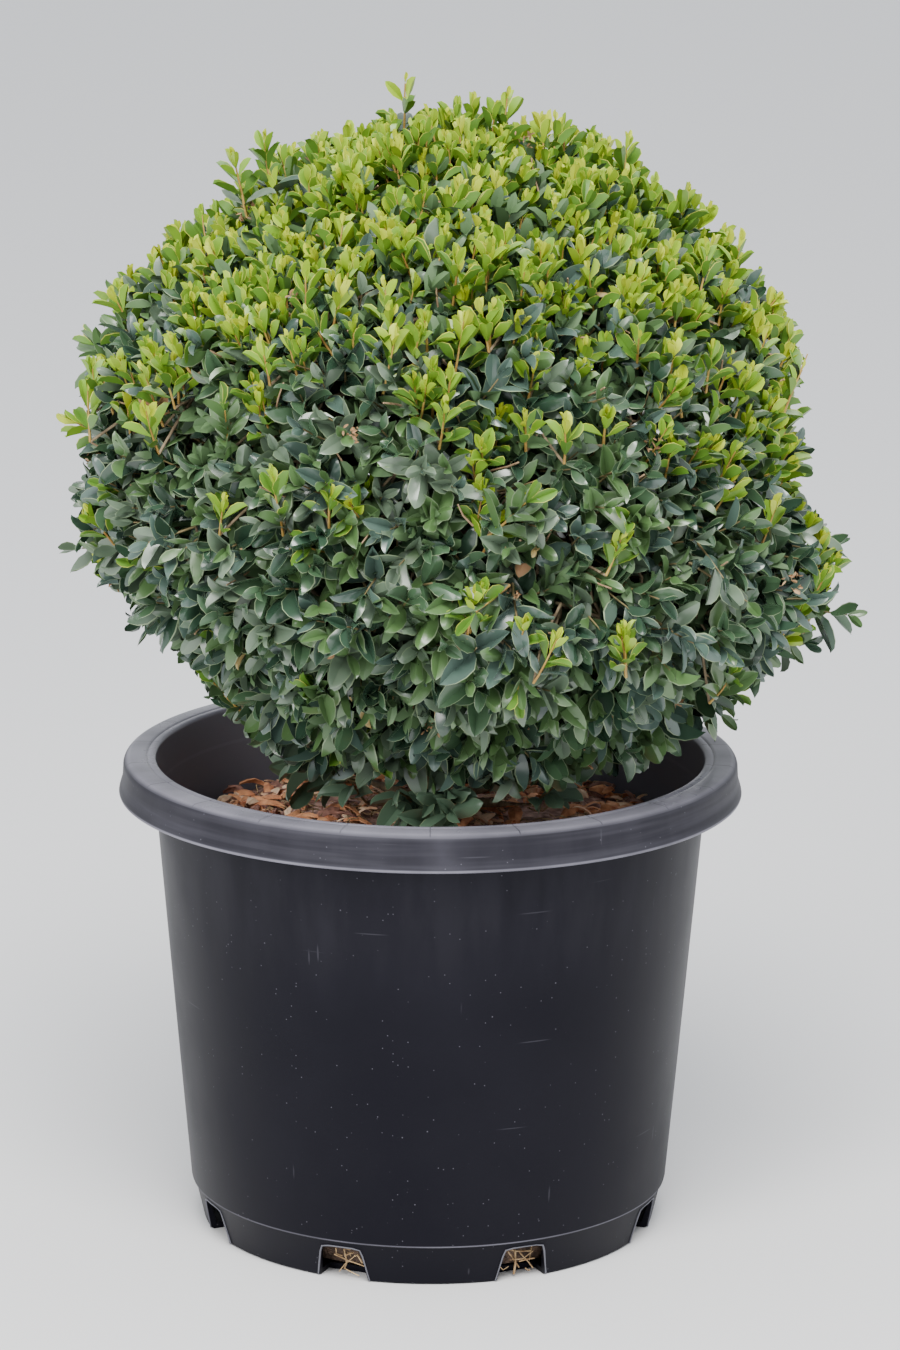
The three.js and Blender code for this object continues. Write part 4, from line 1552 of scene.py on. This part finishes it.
def fresh_chance(way):
    """How likely new growth stands out in this direction: most on top, least in the hollows"""
    # More on the right but for the very top, and less on the left
    side = max(0, way.x - 0.45) * (1.05 - 1.35 * way.z)
    side -= max(0, -way.x - 0.35) * (0.2 + 0.4 * way.z)
    rise = way.z + side + 0.8 * max(0, way.z - 0.5) + 0.3 * noise.noise(way * 3.2)
    rise -= 4.5 * pocket_depth(way)
    share = between((rise - 0.25) / 0.52)
    # A few shoots stand out even where new growth is rare
    stray_share = 0.012 + 0.11 * between(way.z + 0.6)
    return stray_share + (1 - stray_share) * share * (0.35 + 0.65 * share)


def nearest(ways, way):
    """The index of the direction that lies nearest a way"""
    return max(range(len(ways)), key=lambda i: ways[i].dot(way))


def grow_limbs(growth, draw):
    """The ball's limbs, branches and twigs; gives the twigs' directions and tips"""
    ways = spread_directions(LIMBS, seeded(SEED_LIMBS))
    tips = [out_to(way, LIMB_REACH) for way in ways]
    for tip in tips:
        growth.twig("limb", (STEM_TOP, 4), (STEM_TOP.lerp(tip, 0.5), 3.2), (tip, 2.4))
    for count, share, thick in BRANCHING:
        finer = spread_directions(count, draw)
        ends = [out_to(way, share) for way in finer]
        for way, end in zip(finer, ends):
            foot = tips[nearest(ways, way)]
            middle = foot.lerp(end, 0.5) + stray(draw) * 8 * MM
            growth.twig("limb", (foot, thick), (middle, 0.85 * thick), (end, 0.7 * thick))
        ways, tips = finer, ends
    return ways, tips


class Ball:
    """Grows the ball: limbs, branches, twigs and shoots, each growing on from the one below"""

    def __init__(self, growth, crown):
        self.growth = growth
        self.crown = crown
        self.draw = seeded(crown.seed)
        self.shoots = Shoots(growth, crown, self.draw)
        self.ways, self.tips = grow_limbs(growth, self.draw)

    def join(self, root, way):
        """A twig from the nearest tip to a shoot's foot"""
        foot = self.tips[nearest(self.ways, way)]
        middle = foot.lerp(root, 0.5) + stray(self.draw) * 5 * MM
        self.growth.twig("limb", (foot, 0.8), (middle, 0.75), (root, 0.7))

    def shoot(self, way, share, axis, plan, droop, lift):
        """A shoot that ends at a share of the reach, unless its foot would stand out"""
        end = out_to(way, share)
        root = end - axis * (self.shoots.length(plan) + 0.6 * plan[-1][0])
        low = root.z < BALL_FLOOR or not clear_of_pot(root)
        if low or share_of_reach(root) > FOOT_LIMIT:
            return
        self.join(root, way)
        self.shoots.grow(root, axis, plan, in_crown, droop, lift)

    def clipped_surface(self):
        """Full-grown leaves all over"""
        draw = self.draw
        for way in spread_directions(self.crown.shoots, draw):
            low, high = max(0, -way.z), max(0, way.z)
            clump = 0.05 * noise.noise(way * 7 + CLUMP_SHIFT)
            share = 0.976 + clump - 0.06 * draw() - 0.05 * high - 0.2 * max(0, way.z - 0.75)
            share -= surface_drop(way)
            axis = (way + UP * (0.14 - 0.3 * low) + stray(draw) * 0.9).normalized()
            length = self.crown.leaf_length * (0.94 + 0.34 * min(1, 1.6 * low))
            plan = self.shoots.old_plan(3 + int(draw() * 2), length, 6 * low)
            self.shoot(way, share, axis, plan, 0.1 + 0.35 * low, 0.02)

    def new_growth(self):
        """Small bunches of fresh shoots, some with a pair of full-grown leaves at the foot"""
        draw, crown, shoots = self.draw, self.crown, self.shoots
        for way in spread_directions(crown.fresh_shoots, draw):
            if draw() > fresh_chance(way):
                continue
            clump = 0.07 * noise.noise(way * 6)
            share = 0.995 + clump - 0.05 * draw() - surface_drop(way)
            axis = way * 0.5 + UP * 0.8 + stray(draw) * 0.5
            for _ in range(1 + int(draw() * (2.1 + 1.2 * max(0, way.z)))):
                beside = (way + stray(draw) * 0.13).normalized()
                plan = shoots.fresh_plan(4 + int(draw() * 1.9), crown.fresh_length)
                if draw() < FRESH_ON_OLD:
                    plan = shoots.old_plan(2, 0.85 * crown.leaf_length)[:1] + plan
                lean = (axis + stray(draw) * 0.5).normalized()
                self.shoot(beside, share - 0.03 * draw(), lean, plan, 0.0, 0.05)

    def longer_shoots(self):
        """Longer shoots round the waist, by chance"""
        draw = self.draw
        for way in spread_directions(self.crown.long_shoots, draw):
            if abs(way.z + 0.05) > 0.5:
                continue
            axis = (way * 0.6 + UP * 0.3 + stray(draw) * 1.2).normalized()
            shades = ["old_green"] * 4 + ["fresh_deep"] * (1 + int(draw() * 2))
            plan = [
                (self.crown.leaf_length * (1 - 0.09 * k), 50 - 5 * k, 0.37, shade)
                for k, shade in enumerate(shades)
            ]
            self.shoot(way, 0.985 - 0.03 * draw(), axis, plan, 0.1, 0.05)

    def listed_shoots(self):
        """The shoots that stand out of the ball where the photo shows them"""
        crown, shoots = self.crown, self.shoots
        for x, y, z in LONG_SHOOTS + SMALL_SHOOTS:
            tip = Vector((x, y, z)) * MM
            way = (tip - CENTRE).normalized()
            upright = max(0, way.z)
            axis = (way * (1 - 0.5 * upright) + UP * (0.12 + 0.75 * upright)).normalized()
            plan = shoots.old_plan(4, 0.95 * crown.leaf_length)
            plan = [(*row[:3], "old_mid" if row[3] == "dead" else row[3]) for row in plan]
            if z > FRESH_ABOVE:
                plan = plan[:1] + shoots.fresh_plan(5, crown.fresh_length)
            root = tip - axis * (shoots.length(plan) + 0.7 * plan[-1][0])
            self.join(root, way)
            shoots.grow(root, axis, plan, free_of_pot, 0.08, 0.02)

    def shaded_leaves(self):
        """Plain leaves inside the ball, in a shade painted lighter as painted light"""
        draw = self.draw
        for share, count in INNER_LAYERS:
            for way in spread_directions(count, draw):
                axis = (way + UP * 0.2 + stray(draw) * 1.2).normalized()
                root = out_to(way, share)
                if root.z < BALL_FLOOR + 6 * MM:
                    continue
                plan = recoloured(self.shoots.old_plan(3, INNER_LENGTH), "inner")
                self.shoots.grow(root, axis, plan, in_crown)

    def cut_ends(self):
        """Clipped twig ends among the leaves"""
        draw = self.draw
        for way in spread_directions(CUT_ENDS, draw):
            end = out_to(way, 0.89 + 0.07 * draw() - surface_drop(way))
            foot = end - (way + stray(draw) * 1.3).normalized() * (12 + 14 * draw()) * MM
            if foot.z > BALL_FLOOR + 8 * MM and in_crown(end):
                middle = foot.lerp(end, 0.6) + stray(draw) * 2 * MM
                self.growth.twig("cut", (foot, 0.55), (middle, 0.5), (end, 0.42))

    def dead_clusters(self):
        """Small brown clusters of dead scraps"""
        draw = self.draw
        for way in spread_directions(DEAD_CLUSTERS, draw):
            spot = out_to(way, 0.91 + 0.04 * draw() - surface_drop(way))
            for _ in range(9 + int(draw() * 8)):
                root = spot + stray(draw) * 8 * MM
                out = (way + stray(draw) * 2.4).normalized()
                length = (2 + 2.4 * draw()) * MM
                shade = "dead" if draw() < 0.6 else "husk"
                if in_crown(root + out * length):
                    kind = int(draw() * len(OLD_FORMS))
                    self.growth.leaf(shade, root, out, way, length, length * 0.4, kind)

    def grow(self):
        """Everything on the ball, from its surface inwards and then its scars"""
        self.clipped_surface()
        self.new_growth()
        self.longer_shoots()
        self.listed_shoots()
        self.shaded_leaves()
        self.cut_ends()
        self.dead_clusters()


def in_low_spray(turn, point):
    """Whether a point lies in the sixth of a turn over the mix that a low spray keeps to"""
    off = math.atan2(point.y, point.x) - turn
    rise = (point.z - MIX_HIGH.z) / (BALL_FLOOR - MIX_HIGH.z)
    return (
        abs(math.atan2(math.sin(off), math.cos(off))) < math.pi / 6
        and math.hypot(point.x, point.y) < (70 + 28 * rise) * MM
        and clear_of_pot(point)
        and point.z < BALL_FLOOR + 6 * MM
    )


def grow_low_sprays(growth, crown):
    """The low sprays that fan out over the potting mix, each from its own bough's tip"""
    draw = seeded(crown.seed + 1)
    shoots = Shoots(growth, crown, draw)
    for turn, curve, (fullness, lean) in zip(LOW_TURNS, LOW_BOUGHS, LOW_SPRAYS):
        inside = partial(in_low_spray, turn)
        tip = curve(1)
        fork = tip + (tip - curve(0.96)).normalized() * 8 * MM
        growth.twig("limb", (tip, 2.2), (fork, 1.4))
        for _ in range(round(crown.low_shoots * fullness)):
            aside = turn + lean + (draw() - 0.5) * (1.5 - 1.4 * abs(lean))
            lift = 0.15 + (draw() - 0.35) * 0.8
            way = heading(aside, lift).normalized()
            root = fork + way * (2 + 22 * draw()) * MM
            if not inside(root):
                continue
            growth.twig("limb", (fork, 0.9), (root, 0.6))
            axis = (way + UP * (draw() - 0.3) * 0.5).normalized()
            # Their shade is painted lighter: painted light under the ball
            plan = recoloured(shoots.old_plan(3, crown.leaf_length), "low_dark")
            shoots.grow(root, axis, plan, inside, 0.25)


class BOXBALL_OT_crown(bpy.types.Operator):
    """Grow the clipped ball and the low sprays on from their limbs"""

    bl_idname = "box_ball.crown"
    bl_label = "Crown"

    def execute(self, context):
        crown = context.scene.box_ball.crown
        ball, low = Growth(), Growth()
        Ball(ball, crown).grow()
        grow_low_sprays(low, crown)
        tree = scatter_tree("Leaves on shoots")
        old_edge = leaf_skin("pale edge of old leaves", OLD_EDGE, EDGE_ROUGHNESS, PLAIN)
        fresh_edge = leaf_skin("pale edge of fresh leaves", FRESH_EDGE, EDGE_ROUGHNESS, PLAIN)
        old, inner, young = (leaf_collection(name) for name in LEAF_KINDS)
        sprays = numbered("low_spray", LOW_SPRAYS)
        for growth, prefix, nodes in ((ball, "ball", ["foliage_ball"]), (low, "low", sprays)):
            for shade, spots in growth.leaves.items():
                waxy = WAXY if shade in OLD_SHADES else PLAIN
                skin = leaf_skin(shade, *SHADES[shade], waxy)
                shapes, edge, slot = old, old_edge, "dark_foliage"
                if shade in FRESH_SHADES:
                    shapes, edge, slot = young, fresh_edge, "fresh_foliage"
                elif shade == "inner":
                    shapes, edge = inner, skin
                piece = scattered(f"{prefix}_leaves_{shade}", tree, shapes, spots, skin, edge)
                finish_piece(piece, slot, *nodes)
        for growth, prefix in ((ball, "ball"), (low, "low")):
            for kind, paths in growth.twigs.items():
                bark, sides = TWIGS[kind]
                finish_piece(stems(f"{prefix}_twigs_{kind}", paths, natural(bark), sides), "bark")
        for shapes in (old, inner, young):
            drop_collection(shapes)
        return {"FINISHED"}


# Stage


class BOXBALL_OT_stage(bpy.types.Operator):
    """Set the floor, the soft light and the camera"""

    bl_idname = "box_ball.stage"
    bl_label = "Stage"

    def execute(self, context):
        settings = context.scene.box_ball.stage
        material = new_material("pale floor", settings.floor, 0.85)[0]
        half = FLOOR_HALF
        corners = [(-half, -half, 0), (half, -half, 0), (half, half, 0), (-half, half, 0)]
        floor = mesh_piece("floor", corners, [(0, 1, 2, 3)], material, False)
        self.light(context.scene, settings)
        self.camera(context.scene)
        return {"FINISHED"}

    def light(self, scene, settings):
        """An even pale sky, one large soft lamp overhead and a weaker one on the left"""
        world = bpy.data.worlds.new("even sky")
        world.use_nodes = True
        sky = next(n for n in world.node_tree.nodes if n.type == "BACKGROUND")
        feed(world.node_tree, sky, {"Color": SKY_COLOUR, "Strength": settings.sky})
        scene.world = world
        rows = (
            ("overhead", LAMP_PLACE, settings.lamp),
            ("fill", FILL_PLACE, settings.fill),
        )
        for name, place, power in rows:
            lamp = bpy.data.lights.new(name, "AREA")
            lamp.shape = "DISK"
            lamp.size = LAMP_SIZE
            lamp.energy = power
            lamp.color = LAMP_COLOUR
            holder = scene_object(name, lamp)
            holder.location = place
            aim = LAMP_AIM - Vector(place)
            holder.rotation_euler = aim.to_track_quat("-Z", "Y").to_euler()

    def camera(self, scene):
        """The photo's own viewpoint"""
        level = math.cos(CAMERA_PITCH)
        ahead = Vector(
            (math.sin(CAMERA_YAW) * level, math.cos(CAMERA_YAW) * level, -math.sin(CAMERA_PITCH))
        )
        right = ahead.cross(UP).normalized()
        above = right.cross(ahead)
        cosine, sine = math.cos(CAMERA_ROLL), math.sin(CAMERA_ROLL)
        right, above = right * cosine + above * sine, above * cosine - right * sine
        lens = bpy.data.cameras.new("camera")
        lens.lens = CAMERA_LENS
        lens.sensor_width = SENSOR_WIDTH
        camera = scene_object("camera", lens)
        turn = Matrix((right, above, -ahead)).transposed()
        camera.matrix_world = Matrix.Translation(CAMERA_PLACE) @ turn.to_4x4()
        scene.camera = camera


OPERATORS = (
    BOXBALL_OT_pot,
    BOXBALL_OT_potting_mix,
    BOXBALL_OT_mulch,
    BOXBALL_OT_notch_dressing,
    BOXBALL_OT_limbs,
    BOXBALL_OT_crown,
    BOXBALL_OT_stage,
)


class BOXBALL_PT_panel(bpy.types.Panel):
    """The sidebar panel of the box ball"""

    bl_idname = "BOXBALL_PT_panel"
    bl_label = "Box Ball"
    bl_space_type = "VIEW_3D"
    bl_region_type = "UI"
    bl_category = "Box Ball"

    def draw(self, context):
        settings = context.scene.box_ball
        for group in (settings.pot, settings.crown, settings.mulch, settings.stage):
            box = self.layout.box()
            for key in group.__annotations__:
                box.prop(group, key)
        for operator in OPERATORS:
            self.layout.operator(operator.bl_idname)


CLASSES = (
    PotSettings,
    CrownSettings,
    MulchSettings,
    StageSettings,
    BoxBallSettings,
    *OPERATORS,
    BOXBALL_PT_panel,
)


def register():
    for each in CLASSES:
        bpy.utils.register_class(each)
    bpy.types.Scene.box_ball = PointerProperty(type=BoxBallSettings)


def unregister():
    del bpy.types.Scene.box_ball
    for each in reversed(CLASSES):
        bpy.utils.unregister_class(each)


def main():
    register()
    bpy.ops.box_ball.pot()
    bpy.ops.box_ball.potting_mix()
    bpy.ops.box_ball.mulch()
    bpy.ops.box_ball.notch_dressing()
    bpy.ops.box_ball.limbs()
    bpy.ops.box_ball.crown()
    bpy.ops.box_ball.stage()


if __name__ == "__main__":
    main()
